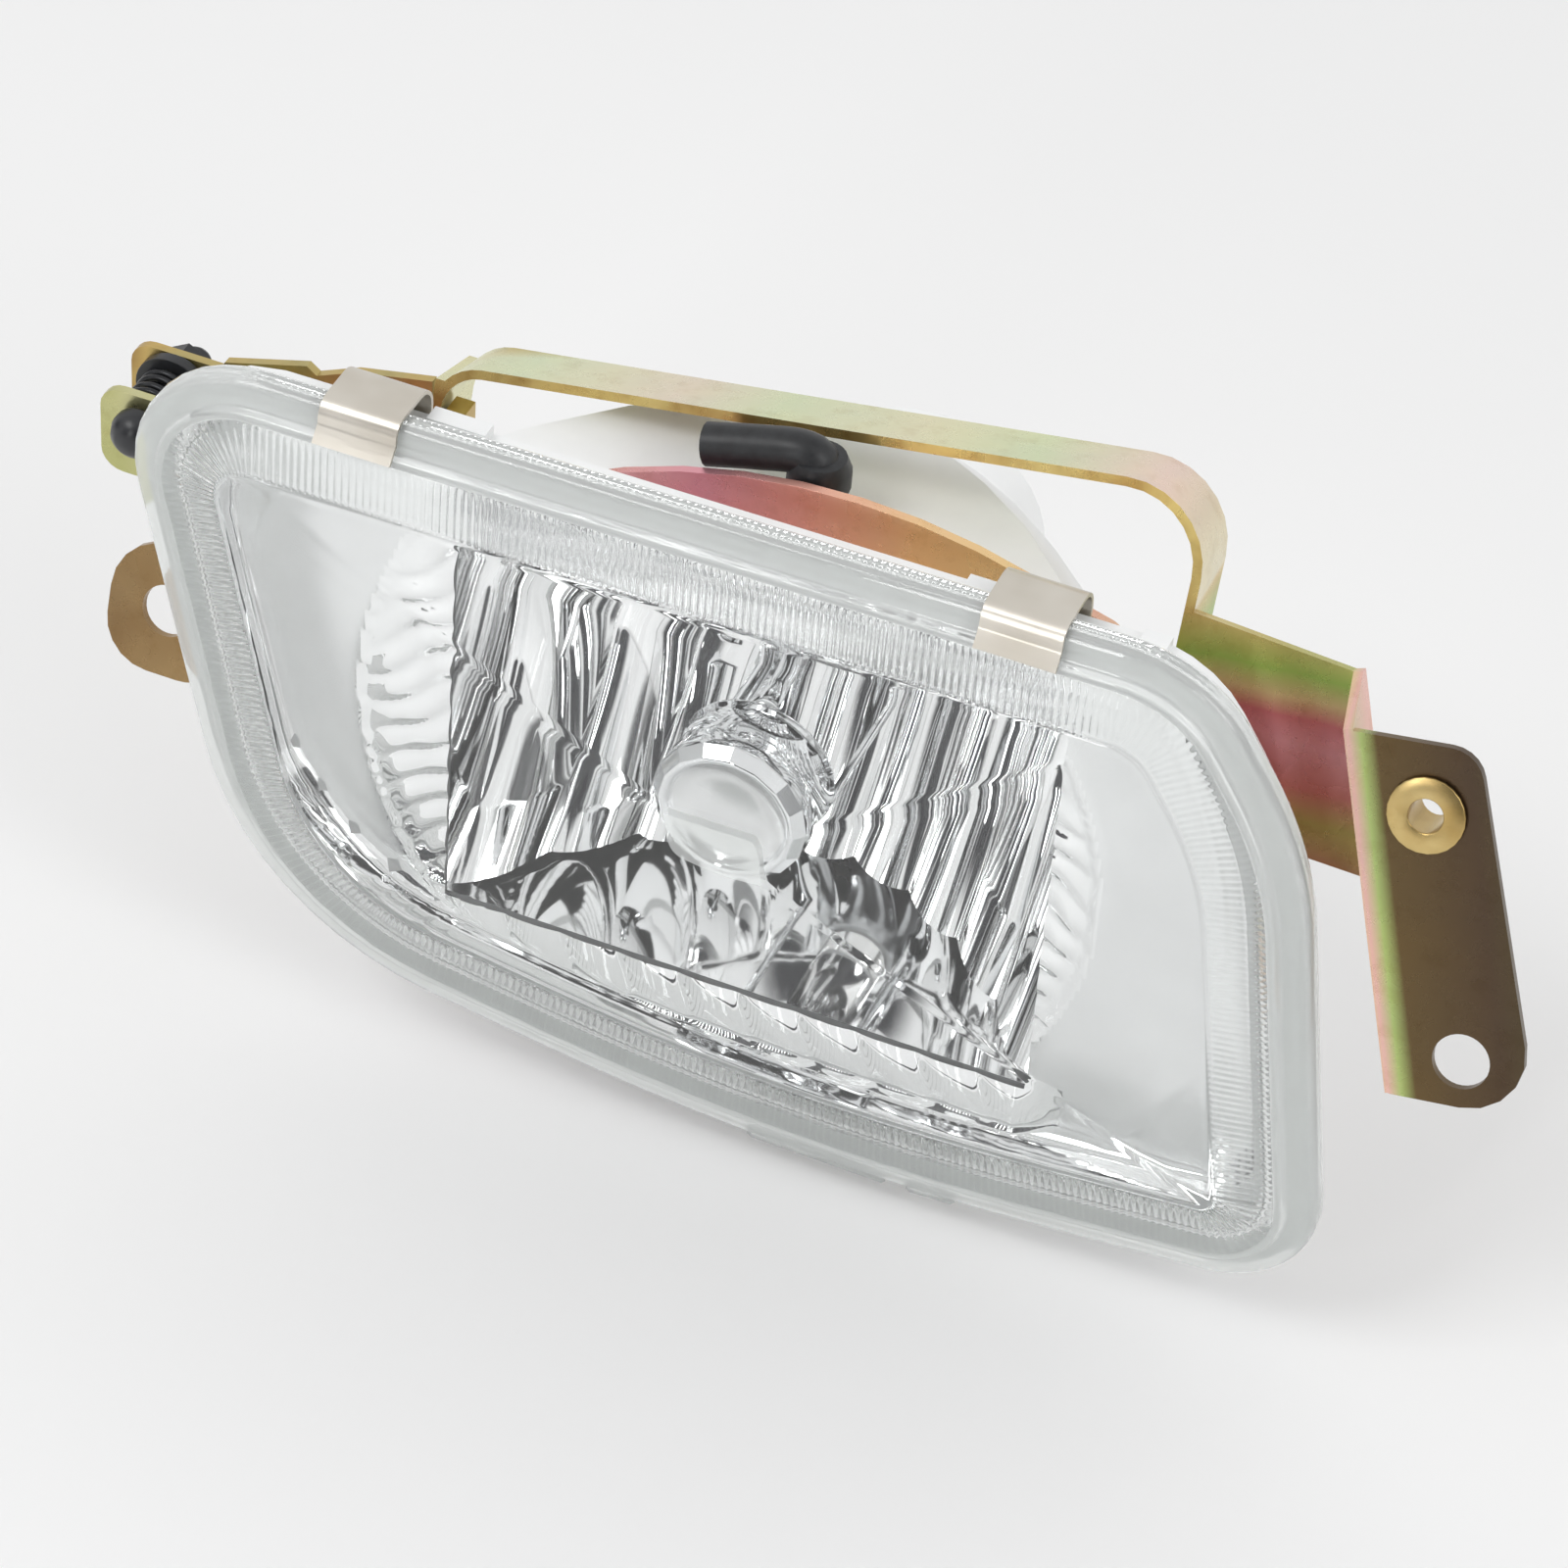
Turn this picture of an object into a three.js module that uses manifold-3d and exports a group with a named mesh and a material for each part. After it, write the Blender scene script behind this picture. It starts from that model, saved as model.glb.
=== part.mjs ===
// Front fog light: a glass-fronted lamp unit that tilts in a bent steel bracket, aimed by one screw.
// Millimetres, +X to the right seen from the front, +Y into the lamp, +Z up.
// The design is laid out from the centre of the lens plane, and the last step moves the origin
// to the seating face of the bolt tab, where the lamp is held.
import * as THREE from 'three';
import { mergeVertices } from 'three/addons/utils/BufferGeometryUtils.js';
import Module from 'manifold-3d';

const wasm = await Module();
wasm.setup();

// ---------------------------------------------------------------- driving dimensions
const GAP = 0.3;                 // clearance between solids that touch
const BEND_STEPS = 5;            // straight pieces in one rounded corner

// Lens outline seen from the front, from its outermost left corner to its outermost right one
const LENS_WIDTH = 195;
const LENS_HEIGHT = 115.6;
// Corners as shares of the width and height, and the corner radius
const LENS_CORNERS = [
  [-0.51026, 0.45156, 20],
  [0.34103, 0.46367, 22],
  [0.43077, 0.22924, 62],
  [0.48974, -0.46367, 17],
  [0.05897, -0.53633, 320],
  [-0.39487, -0.41522, 46],
].map(([x, z, r]) => [x * LENS_WIDTH, z * LENS_HEIGHT, r]);
const LEFT_EDGE = LENS_CORNERS[0][0];
const RIGHT_EDGE = LENS_CORNERS[3][0];
const RIM_LIP = 4.4;             // flat lip that the clips hold
const RIM_BAND = 12;             // lip plus fluted band, up to the clear window
const GLASS = 3;                 // glass thickness
const DOME = 2.6;                // rise of the clear window
const LIP_BACK_Y = 3.2;          // back face of the glass lip
const SEAL_THICK = 1;            // rubber seal under the glass lip

// Reflector housing
const FLANGE_INSET = 4;          // housing flange inside the glass outline
const FLANGE_THICK = 4;
const WALL = 2;                  // moulded wall
const BOWL_X = -1.1;             // optical axis
const BOWL_FOCUS = 16.5;         // focal length of the parabola
const BOWL_VERTEX_Y = 69;
const BOWL_FLAT_Z = 40;          // flat top and bottom shelves
const BOWL_FLAT_X = 46.8;        // flat side walls that clear the pivot tabs
const COLLAR_R = 15;             // neck that the rear cap closes
const COLLAR_END_Y = 73;
const BULB_SEAT_R = 11.8;
const BULB_HOLE_R = 9;
const VENT_X = 2;
const NIPPLE_R = 3.2;            // vent nipple on the top shelf
const ELBOW_WALL = 1.4;          // rubber round the nipple
const VENT_CLEAR = 0.5;          // between the elbow and the carrier

// Lamp carrier, sheet steel
const SHEET = 1.4;
const BOSS_REST = 0.8;           // from the housing's floor to the carrier plate
const CARRIER_TAB_X = 53.6;      // inner face of the pivot tabs, from the bowl axis
const SCREW_X = 53;              // carrier screws, from the bowl axis
const SCREW_Z = 27;

// Aiming pivot and bracket
const PIVOT_BEHIND = 10.6;       // from the carrier's front face to the tilting axis
const PIVOT_PIN_R = 2.4;
const BRACKET_LEAN = 18;         // degrees between the bolt face and the lens plane
const LEG_GAP = 1.25;            // between the carrier's tabs and the strap's legs
const STRAP_FRONT = -12.5;       // front edge of the strap, in the bracket's own depth
const STRAP_WIDTH = 12;
const EAR_BACK = -2.5;           // rear face of the left bolt ear
const TAB_STEP = 7.6;             // how far the bolt tab stands in front of the web plate
const BOLT_R = 4.1;

// Adjuster
const ADJ_X = LEFT_EDGE - 0.5;
const ADJ_Z = 26.4;
const ADJ_SCREW_R = 2.4;
const ADJ_EAR_R = 3.4;           // clearance round the screw in the back ear
const BACK_EAR_BEHIND = 10.6;    // from the front ear to the back ear

// ---------------------------------------------------------------- derived places
const FLANGE_Y = LIP_BACK_Y + SEAL_THICK + 2 * GAP;
const FLOOR_Y = FLANGE_Y + FLANGE_THICK + 1.8;
const FLOOR_BACK_Y = FLOOR_Y + WALL;
const CARRIER_Y = FLOOR_BACK_Y + BOSS_REST;
const PIVOT_Y = CARRIER_Y + PIVOT_BEHIND;
const BACK_EAR_Y = CARRIER_Y + BACK_EAR_BEHIND;
const CARRIER_BACK_Y = CARRIER_Y + SHEET;
const STRAP_BACK = STRAP_FRONT + STRAP_WIDTH;
const TAB_FRONT = STRAP_FRONT - TAB_STEP;
const TAB_BACK = TAB_FRONT + SHEET;
const EAR_FRONT = EAR_BACK - SHEET;
const LEG_HALF = SHEET / 2;
const LEG_X = CARRIER_TAB_X + SHEET + LEG_GAP + LEG_HALF;
const VENT_Y = CARRIER_BACK_Y + VENT_CLEAR + ELBOW_WALL + NIPPLE_R;
const RIGHT_LEG_IN = BOWL_X + LEG_X - LEG_HALF;
const LEFT_LEG_IN = BOWL_X - LEG_X + LEG_HALF;

// ---------------------------------------------------------------- solids
function signedVolume(geometry) {
  const p = geometry.attributes.position;
  const index = geometry.index.array;
  const [a, b, c] = [new THREE.Vector3(), new THREE.Vector3(), new THREE.Vector3()];
  let sum = 0;
  for (let i = 0; i < index.length; i += 3) {
    a.fromBufferAttribute(p, index[i]);
    b.fromBufferAttribute(p, index[i + 1]);
    c.fromBufferAttribute(p, index[i + 2]);
    sum += a.dot(b.cross(c));
  }
  return sum / 6;
}

function solid(geometry) {
  let g = geometry.clone();
  g.deleteAttribute('normal');
  g.deleteAttribute('uv');
  g = mergeVertices(g, 1e-4);
  const kept = [];
  const index = g.index.array;
  for (let i = 0; i < index.length; i += 3) {
    const [a, b, c] = [index[i], index[i + 1], index[i + 2]];
    if (a !== b && b !== c && a !== c) kept.push(a, b, c);
  }
  g.setIndex(kept);
  const triVerts = Uint32Array.from(kept);
  if (signedVolume(g) < 0) {
    for (let i = 0; i < triVerts.length; i += 3) {
      [triVerts[i + 1], triVerts[i + 2]] = [triVerts[i + 2], triVerts[i + 1]];
    }
  }
  const vertProperties = Float32Array.from(g.attributes.position.array);
  return new wasm.Manifold(new wasm.Mesh({ numProp: 3, vertProperties, triVerts }));
}

function toGeometry(manifold) {
  const mesh = manifold.getMesh();
  const geometry = new THREE.BufferGeometry();
  geometry.setAttribute('position', new THREE.Float32BufferAttribute(mesh.vertProperties, 3));
  geometry.setIndex(Array.from(mesh.triVerts));
  geometry.computeVertexNormals();
  return geometry;
}

const join = (...parts) => parts.reduce((a, b) => a.add(b));
const cut = (body, ...tools) => tools.reduce((a, b) => a.subtract(b), body);

// Corners [x, y, radius] to points: closed outline, or open path when open is true
function rounded(corners, open = false, steps = BEND_STEPS) {
  const points = [];
  corners.forEach(([x, y, r = 0], i) => {
    const here = new THREE.Vector2(x, y);
    if (r === 0 || (open && (i === 0 || i === corners.length - 1))) {
      points.push(here);
      return;
    }
    const before = corners[(i - 1 + corners.length) % corners.length];
    const after = corners[(i + 1) % corners.length];
    const u = new THREE.Vector2(before[0], before[1]).sub(here).normalize();
    const v = new THREE.Vector2(after[0], after[1]).sub(here).normalize();
    const half = Math.acos(THREE.MathUtils.clamp(u.dot(v), -1, 1)) / 2;
    const centre = u.clone().add(v).normalize().multiplyScalar(r / Math.sin(half)).add(here);
    const reach = r / Math.tan(half);
    const start = u.clone().multiplyScalar(reach).add(here).sub(centre);
    const end = v.clone().multiplyScalar(reach).add(here).sub(centre);
    const from = start.angle();
    const turn = THREE.MathUtils.euclideanModulo(end.angle() - from + Math.PI, 2 * Math.PI) - Math.PI;
    for (let k = 0; k <= steps; k += 1) {
      const a = from + (turn * k) / steps;
      points.push(new THREE.Vector2(centre.x + r * Math.cos(a), centre.y + r * Math.sin(a)));
    }
  });
  return points;
}

// Moves each side of a clockwise outline inwards and shrinks its corner radii by the same amount
function insetCorners(corners, inset) {
  const n = corners.length;
  return corners.map(([x, y, r], i) => {
    const [px, py] = corners[(i - 1 + n) % n];
    const [qx, qy] = corners[(i + 1) % n];
    const u = new THREE.Vector2(x - px, y - py).normalize();
    const v = new THREE.Vector2(qx - x, qy - y).normalize();
    const nu = new THREE.Vector2(u.y, -u.x);
    const nv = new THREE.Vector2(v.y, -v.x);
    const s = inset / (1 + nu.dot(nv));
    return [x + (nu.x + nv.x) * s, y + (nu.y + nv.y) * s, Math.max(r - inset, 0.8)];
  });
}

// A ring of the lens outline: inset from the edge, scaled about the middle of the lens, at depth y
function ring(inset, y, scale = 1) {
  const loop = rounded(insetCorners(LENS_CORNERS, inset));
  return loop.map((p) => new THREE.Vector3(p.x * scale, y, p.y * scale));
}

// Closed skin through rings of equal count, with a fan over the first and the last ring
function ringSolid(rings, firstY = rings[0][0].y, lastY = rings[rings.length - 1][0].y) {
  const n = rings[0].length;
  const points = rings.flat();
  const middle = (r, y) => {
    const m = r.reduce((a, b) => a.add(b), new THREE.Vector3()).divideScalar(n);
    m.y = y;
    return m;
  };
  const index = [];
  for (let i = 0; i < rings.length - 1; i += 1) {
    for (let k = 0; k < n; k += 1) {
      const [a, b] = [i * n + k, i * n + ((k + 1) % n)];
      index.push(a, b, b + n, a, b + n, a + n);
    }
  }
  points.push(middle(rings[0], firstY), middle(rings[rings.length - 1], lastY));
  const last = (rings.length - 1) * n;
  for (let k = 0; k < n; k += 1) {
    index.push(points.length - 2, (k + 1) % n, k);
    index.push(points.length - 1, last + k, last + ((k + 1) % n));
  }
  const geometry = new THREE.BufferGeometry().setFromPoints(points);
  geometry.setIndex(index);
  return solid(geometry);
}

// Closed skin through rings whose last ring joins the first, such as a seal
function loopSolid(rings) {
  const n = rings[0].length;
  const index = [];
  rings.forEach((r, i) => {
    const next = (i + 1) % rings.length;
    for (let k = 0; k < n; k += 1) {
      const j = (k + 1) % n;
      index.push(i * n + k, i * n + j, next * n + j, i * n + k, next * n + j, next * n + k);
    }
  });
  const geometry = new THREE.BufferGeometry().setFromPoints(rings.flat());
  geometry.setIndex(index);
  return solid(geometry);
}

function extrude(points, depth, basis, offset) {
  const geometry = new THREE.ExtrudeGeometry(new THREE.Shape(points), { depth, bevelEnabled: false });
  geometry.applyMatrix4(basis);
  geometry.translate(...offset);
  return solid(geometry);
}

const X = new THREE.Vector3(1, 0, 0);
const Y = new THREE.Vector3(0, 1, 0);
const Z = new THREE.Vector3(0, 0, 1);
const FRONT = new THREE.Matrix4().makeBasis(X, Z, Y.clone().negate());
const SIDE = new THREE.Matrix4().makeBasis(Y, Z, X);

// Outline in x and z, from depth y0 to y1
const frontPlate = (points, y0, y1) => extrude(points, y1 - y0, FRONT, [0, y1, 0]);
// Outline in y and z, from x0 to x1
const sidePlate = (points, x0, x1) => extrude(points, x1 - x0, SIDE, [x0, 0, 0]);

function turned(profile, x = 0, z = 0, steps = 32) {
  const points = profile.map(([r, y]) => new THREE.Vector2(r, y));
  if (profile[0][0] !== 0) points.push(points[0].clone());
  const geometry = new THREE.LatheGeometry(points, steps);
  geometry.translate(x, 0, z);
  return solid(geometry);
}

const rodY = (r, y0, y1, x, z, steps = 24) => turned([[0, y0], [r, y0], [r, y1], [0, y1]], x, z, steps);
const tubeY = (r0, r1, y0, y1, x, z, steps = 32) =>
  turned([[r0, y0], [r1, y0], [r1, y1], [r0, y1]], x, z, steps);

function turnedX(profile, x, y, z, steps = 24) {
  const points = profile.map(([r, h]) => new THREE.Vector2(r, h));
  if (profile[0][0] !== 0) points.push(points[0].clone());
  const geometry = new THREE.LatheGeometry(points, steps);
  geometry.rotateZ(-Math.PI / 2);
  geometry.translate(x, y, z);
  return solid(geometry);
}

function box(x0, x1, y0, y1, z0, z1) {
  const geometry = new THREE.BoxGeometry(x1 - x0, y1 - y0, z1 - z0);
  geometry.translate((x0 + x1) / 2, (y0 + y1) / 2, (z0 + z1) / 2);
  return solid(geometry);
}

// Sheet metal seen edge-on: a path turned into a band of one thickness
function band(path, thickness) {
  const left = [];
  const right = [];
  path.forEach((p, i) => {
    const a = path[Math.max(i - 1, 0)];
    const b = path[Math.min(i + 1, path.length - 1)];
    const d = b.clone().sub(a).normalize();
    const normal = new THREE.Vector2(-d.y, d.x).multiplyScalar(thickness / 2);
    left.push(p.clone().add(normal));
    right.push(p.clone().sub(normal));
  });
  return left.concat(right.reverse());
}

// ---------------------------------------------------------------- materials
const finish = (color, roughness, metalness, extra = {}) =>
  new THREE.MeshStandardMaterial({ color, roughness, metalness, ...extra });
const zinc = () => finish(0xb8a65a, 0.35, 0.9);
const glass = () => finish(0xe4efe9, 0.05, 0, { transparent: true, opacity: 0.35 });
const whitePlastic = () => finish(0xeef0f0, 0.45, 0);
const nickel = () => finish(0xb9b0a2, 0.3, 1);
const blackPlastic = () => finish(0x17181a, 0.4, 0);
const paleSilicone = () => finish(0xd2d6d4, 0.6, 0);
const blackRubber = () => finish(0x141516, 0.7, 0);
const chrome = () => finish(0xe8ebee, 0.06, 1);
const steel = () => finish(0x9a9da0, 0.35, 1);

const lamp = new THREE.Group();
const bracket = new THREE.Group();
const adjuster = new THREE.Group();

function add(group, name, manifold, material) {
  const mesh = new THREE.Mesh(toGeometry(manifold), material);
  mesh.name = name;
  group.add(mesh);
}

// ---------------------------------------------------------------- lens and seal
function lens() {
  const outer = [
    ring(RIM_BAND, -3.9 - DOME, 0.45),
    ring(RIM_BAND, -3.9 - 0.7 * DOME, 0.75),
    ring(RIM_BAND, -3.9),
    ring(RIM_BAND - 0.5, -3.1),
    ring(RIM_LIP + 0.3, -2.4),
    ring(RIM_LIP, -1.2),
    ring(1.2, -0.8),
    ring(0.2, 0.2),
    ring(0, LIP_BACK_Y - 0.4),
  ];
  const inner = [
    ring(0.4, LIP_BACK_Y),
    ring(RIM_LIP + 2.4, LIP_BACK_Y),
    ring(RIM_LIP + 3.2, 0.6),
    ring(RIM_BAND, -3.9 + GLASS),
    ring(RIM_BAND, -3.9 + GLASS - 0.7 * DOME, 0.75),
    ring(RIM_BAND, -3.9 + GLASS - DOME, 0.45),
  ];
  const body = ringSolid(outer.concat(inner), -3.9 - DOME * 1.15, -3.9 + GLASS - DOME * 1.15);
  const ribs = [[0, 22], [25.5, 7.5]].map(([from, length]) => {
    const x = 6 + from;
    const slope = THREE.MathUtils.degToRad(5.3);
    const z = LENS_CORNERS[4][1] + 0.6;
    return box(x, x + length, 0.2, LIP_BACK_Y, z - 0.2 + from * Math.tan(slope) * 0.2, z + 4);
  });
  return join(body, ...ribs);
}
add(lamp, 'lens', lens(), glass());

const SEAL_Y = LIP_BACK_Y + GAP;
add(lamp, 'lens_seal', loopSolid([
  ring(1.4, SEAL_Y),
  ring(RIM_LIP + 1.6, SEAL_Y),
  ring(RIM_LIP + 1.6, SEAL_Y + SEAL_THICK),
  ring(1.4, SEAL_Y + SEAL_THICK),
]), paleSilicone());

// ---------------------------------------------------------------- reflector housing
function parabola(offset, vertexY, mouthY) {
  const profile = [[0, mouthY]];
  const steps = 10;
  const rMouth = 2 * Math.sqrt(BOWL_FOCUS * (vertexY - mouthY));
  for (let i = 0; i <= steps; i += 1) {
    const r = (rMouth * (steps - i)) / steps;
    const y = vertexY - (r * r) / (4 * BOWL_FOCUS);
    profile.push(i === steps ? [0, y + offset] : [r + offset, y]);
  }
  return turned(profile, BOWL_X, 0, 40);
}

function housing() {
  const dish = ringSolid([
    ring(11.4, FLOOR_Y),
    ring(9.6, FLANGE_Y),
    ring(FLANGE_INSET, FLANGE_Y),
    ring(FLANGE_INSET, FLANGE_Y + FLANGE_THICK),
    ring(8.4, FLANGE_Y + FLANGE_THICK),
    ring(10.6, FLOOR_BACK_Y),
  ]);
  const outerFlat = BOWL_FLAT_Z + WALL;
  const outerSide = BOWL_FLAT_X + WALL;
  const shelf = box(BOWL_X - outerSide, BOWL_X + outerSide, FLOOR_Y, 90, -outerFlat, outerFlat);
  const shell = parabola(WALL, BOWL_VERTEX_Y, FLOOR_Y + 0.5).intersect(shelf);
  const collar = rodY(COLLAR_R, BOWL_VERTEX_Y - 8, COLLAR_END_Y, BOWL_X, 0, 32);
  const bosses = screwPlaces().map(([x, z]) => rodY(4, FLOOR_Y + 0.5, CARRIER_Y - GAP, x, z, 16));
  const nipple = turned([[0, 0], [NIPPLE_R, 0], [NIPPLE_R, 11], [NIPPLE_R - 0.6, 12], [0, 12]], 0, 0, 20);
  const upright = nipple.rotate([90, 0, 0]).translate([VENT_X, VENT_Y, outerFlat - 4]);
  const tabs = flangeTabs();
  const body = join(dish, shell, collar, ...bosses, upright, ...tabs);
  const inside = box(BOWL_X - BOWL_FLAT_X, BOWL_X + BOWL_FLAT_X, FLOOR_Y - 2, 90, -BOWL_FLAT_Z, BOWL_FLAT_Z);
  const hollow = parabola(0, BOWL_VERTEX_Y, FLOOR_Y - 1).intersect(inside);
  const seat = rodY(BULB_SEAT_R, COLLAR_END_Y - 5, COLLAR_END_Y + 1, BOWL_X, 0, 32);
  const throat = rodY(BULB_HOLE_R, BOWL_VERTEX_Y - 10, COLLAR_END_Y + 1, BOWL_X, 0, 32);
  const vent = rodY(2.2, 0, 20, 0, 0, 12).rotate([90, 0, 0]).translate([VENT_X, VENT_Y, outerFlat - 6]);
  const pilots = screwPlaces().map(([x, z]) => rodY(1.7, FLOOR_Y + WALL - 0.6, CARRIER_Y + 1, x, z, 12));
  return cut(body, hollow, seat, throat, vent, ...pilots);
}

function screwPlaces() {
  return [-1, 1].flatMap((i) => [-1, 1].map((k) => [BOWL_X + i * SCREW_X, k * SCREW_Z]));
}

// Small locating tabs that stand up from the top of the flange
function flangeTabs() {
  const top = LENS_CORNERS[0][1] - FLANGE_INSET;
  return [[-51.5, 9], [29, 5], [54.5, 4]].map(([x, width]) =>
    box(x, x + width, FLANGE_Y + 1, FLANGE_Y + FLANGE_THICK, top - 2, top + 2.2));
}
add(lamp, 'reflector_housing', housing(), whitePlastic());

// ---------------------------------------------------------------- bulb and what holds it
const SEAT_Y = COLLAR_END_Y - 5 + GAP;
add(lamp, 'bulb_base', turned([
  [0, SEAT_Y - 4], [6.2, SEAT_Y - 4], [6.2, SEAT_Y], [BULB_SEAT_R - GAP, SEAT_Y],
  [BULB_SEAT_R - GAP, SEAT_Y + 1.6], [5, SEAT_Y + 1.6], [5, SEAT_Y + 4], [0, SEAT_Y + 4],
], BOWL_X), steel());
add(lamp, 'bulb_glass', turned([
  [0, 40], [2.6, 40.6], [4.6, 42.6], [5.2, 45], [5.2, SEAT_Y - 4 - GAP], [0, SEAT_Y - 4 - GAP],
], BOWL_X, 0, 24), glass());
add(lamp, 'bulb_retainer', tubeY(6.4, BULB_SEAT_R - GAP, SEAT_Y + 1.9, SEAT_Y + 2.7, BOWL_X, 0), nickel());

const SHIELD_Y = 1.6;            // front of the bulb shield
function bulbShield() {
  const cup = turned([
    [0, SHIELD_Y], [9.5, SHIELD_Y + 0.6], [12, SHIELD_Y + 2.2], [12, SHIELD_Y + 12.4],
    [11, SHIELD_Y + 12.4], [11, SHIELD_Y + 3.2], [0, SHIELD_Y + 1.2],
  ], BOWL_X, 0, 32);
  const legs = [0, 120, 240].map((turn) => {
    const leg = box(-1.6, 1.6, SHIELD_Y + 10.4, BOWL_VERTEX_Y - 2.9, 10.9, 12.1);
    return leg.rotate([0, turn, 0]).translate([BOWL_X, 0, 0]);
  });
  return join(cup, ...legs);
}
add(lamp, 'bulb_shield', bulbShield(), chrome());

const CAP_R = COLLAR_R + 4;
const CAP_Y = COLLAR_END_Y - 7;
const GROMMET_R = 5;
add(lamp, 'rear_cap', cut(
  turned([
    [0, CAP_Y], [CAP_R, CAP_Y], [CAP_R, CAP_Y + 12], [CAP_R - 2, CAP_Y + 14.5], [0, CAP_Y + 14.5],
  ], BOWL_X),
  rodY(COLLAR_R + 1.6, CAP_Y - 5, CAP_Y + 11.5, BOWL_X, 0, 32),
  rodY(GROMMET_R + GAP, CAP_Y + 5, CAP_Y + 20, BOWL_X, -7, 20),
), whitePlastic());
add(lamp, 'rear_cap_seal', tubeY(COLLAR_R + GAP, COLLAR_R + 1.6 - GAP, CAP_Y + 2, CAP_Y + 5, BOWL_X, 0),
  blackRubber());
add(lamp, 'cable_grommet', cut(
  turned([
    [0, CAP_Y + 10.5], [GROMMET_R, CAP_Y + 10.5], [GROMMET_R, CAP_Y + 14.9], [GROMMET_R + 1.4, CAP_Y + 14.9],
    [GROMMET_R, CAP_Y + 18], [0, CAP_Y + 18],
  ], BOWL_X, -7, 20),
  rodY(2.2, CAP_Y, CAP_Y + 25, BOWL_X, -7, 12),
), blackRubber());

// ---------------------------------------------------------------- vent elbow
function ventElbow() {
  const seatZ = BOWL_FLAT_Z + WALL + 8 + GAP;
  const curve = new THREE.CatmullRomCurve3([
    [0, 0, 0.2], [0, 0, 1.2], [-0.8, 0, 2.2], [-3, -0.1, 2.6], [-9, -0.4, 1.4], [-16.5, -0.9, -0.4],
  ].map(([x, y, z]) => new THREE.Vector3(VENT_X + x, VENT_Y + y, seatZ + z)));
  const tube = (r) => {
    const circle = new THREE.Path().absarc(0, 0, r, 0, 2 * Math.PI).getPoints(8).slice(0, -1);
    const settings = { steps: 20, extrudePath: curve, bevelEnabled: false };
    return solid(new THREE.ExtrudeGeometry(new THREE.Shape(circle), settings));
  };
  const outside = NIPPLE_R + ELBOW_WALL;
  const collar = turned([[0, -2], [outside, -2], [outside, 0.8], [outside - 0.8, 2.8], [0, 3.4]], 0, 0, 24);
  const pocket = turned([[0, -5], [NIPPLE_R + GAP, -5], [NIPPLE_R + GAP, 0], [0, 0]], 0, 0, 24);
  const upright = (part) => part.rotate([90, 0, 0]).translate([VENT_X, VENT_Y, seatZ]);
  const bore = turned([[0, -1], [2, -1], [2, 1.4], [0, 1.4]], 0, 0, 12);
  return cut(join(tube(3.2), upright(collar)), tube(2), upright(pocket), upright(bore));
}
add(lamp, 'vent_elbow', ventElbow(), blackRubber());

// ---------------------------------------------------------------- lens clips
const CLIP_WIDTH = 12;
const CLIP_SHEET = 0.6;
function lensClip(x) {
  const [[x0, z0], [x1, z1]] = LENS_CORNERS;
  const edge = z0 + ((x - x0) * (z1 - z0)) / (x1 - x0);
  const back = FLANGE_Y + FLANGE_THICK + GAP + CLIP_SHEET;
  const path = rounded([
    [-3.9, edge - 4.5], [-1.9, edge - 2.2, 1.2], [-1.7, edge + 1, 2.4], [back + 0.2, edge + 1, 3.6],
    [back - 0.2, edge - 6.5, 1], [back + 0.8, edge - 8],
  ], true);
  return sidePlate(band(path, CLIP_SHEET), x - CLIP_WIDTH / 2, x + CLIP_WIDTH / 2);
}
add(lamp, 'lens_clip_left', lensClip(-58.4), nickel());
add(lamp, 'lens_clip_right', lensClip(40.4), nickel());

// ---------------------------------------------------------------- lamp carrier
function archTop(x0, x1, crownX, crownZ, radius, steps = 8) {
  return Array.from({ length: steps + 1 }, (_, i) => {
    const x = x0 + ((x1 - x0) * i) / steps;
    return [x, crownZ - radius + Math.sqrt(radius ** 2 - (x - crownX) ** 2)];
  });
}

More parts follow.
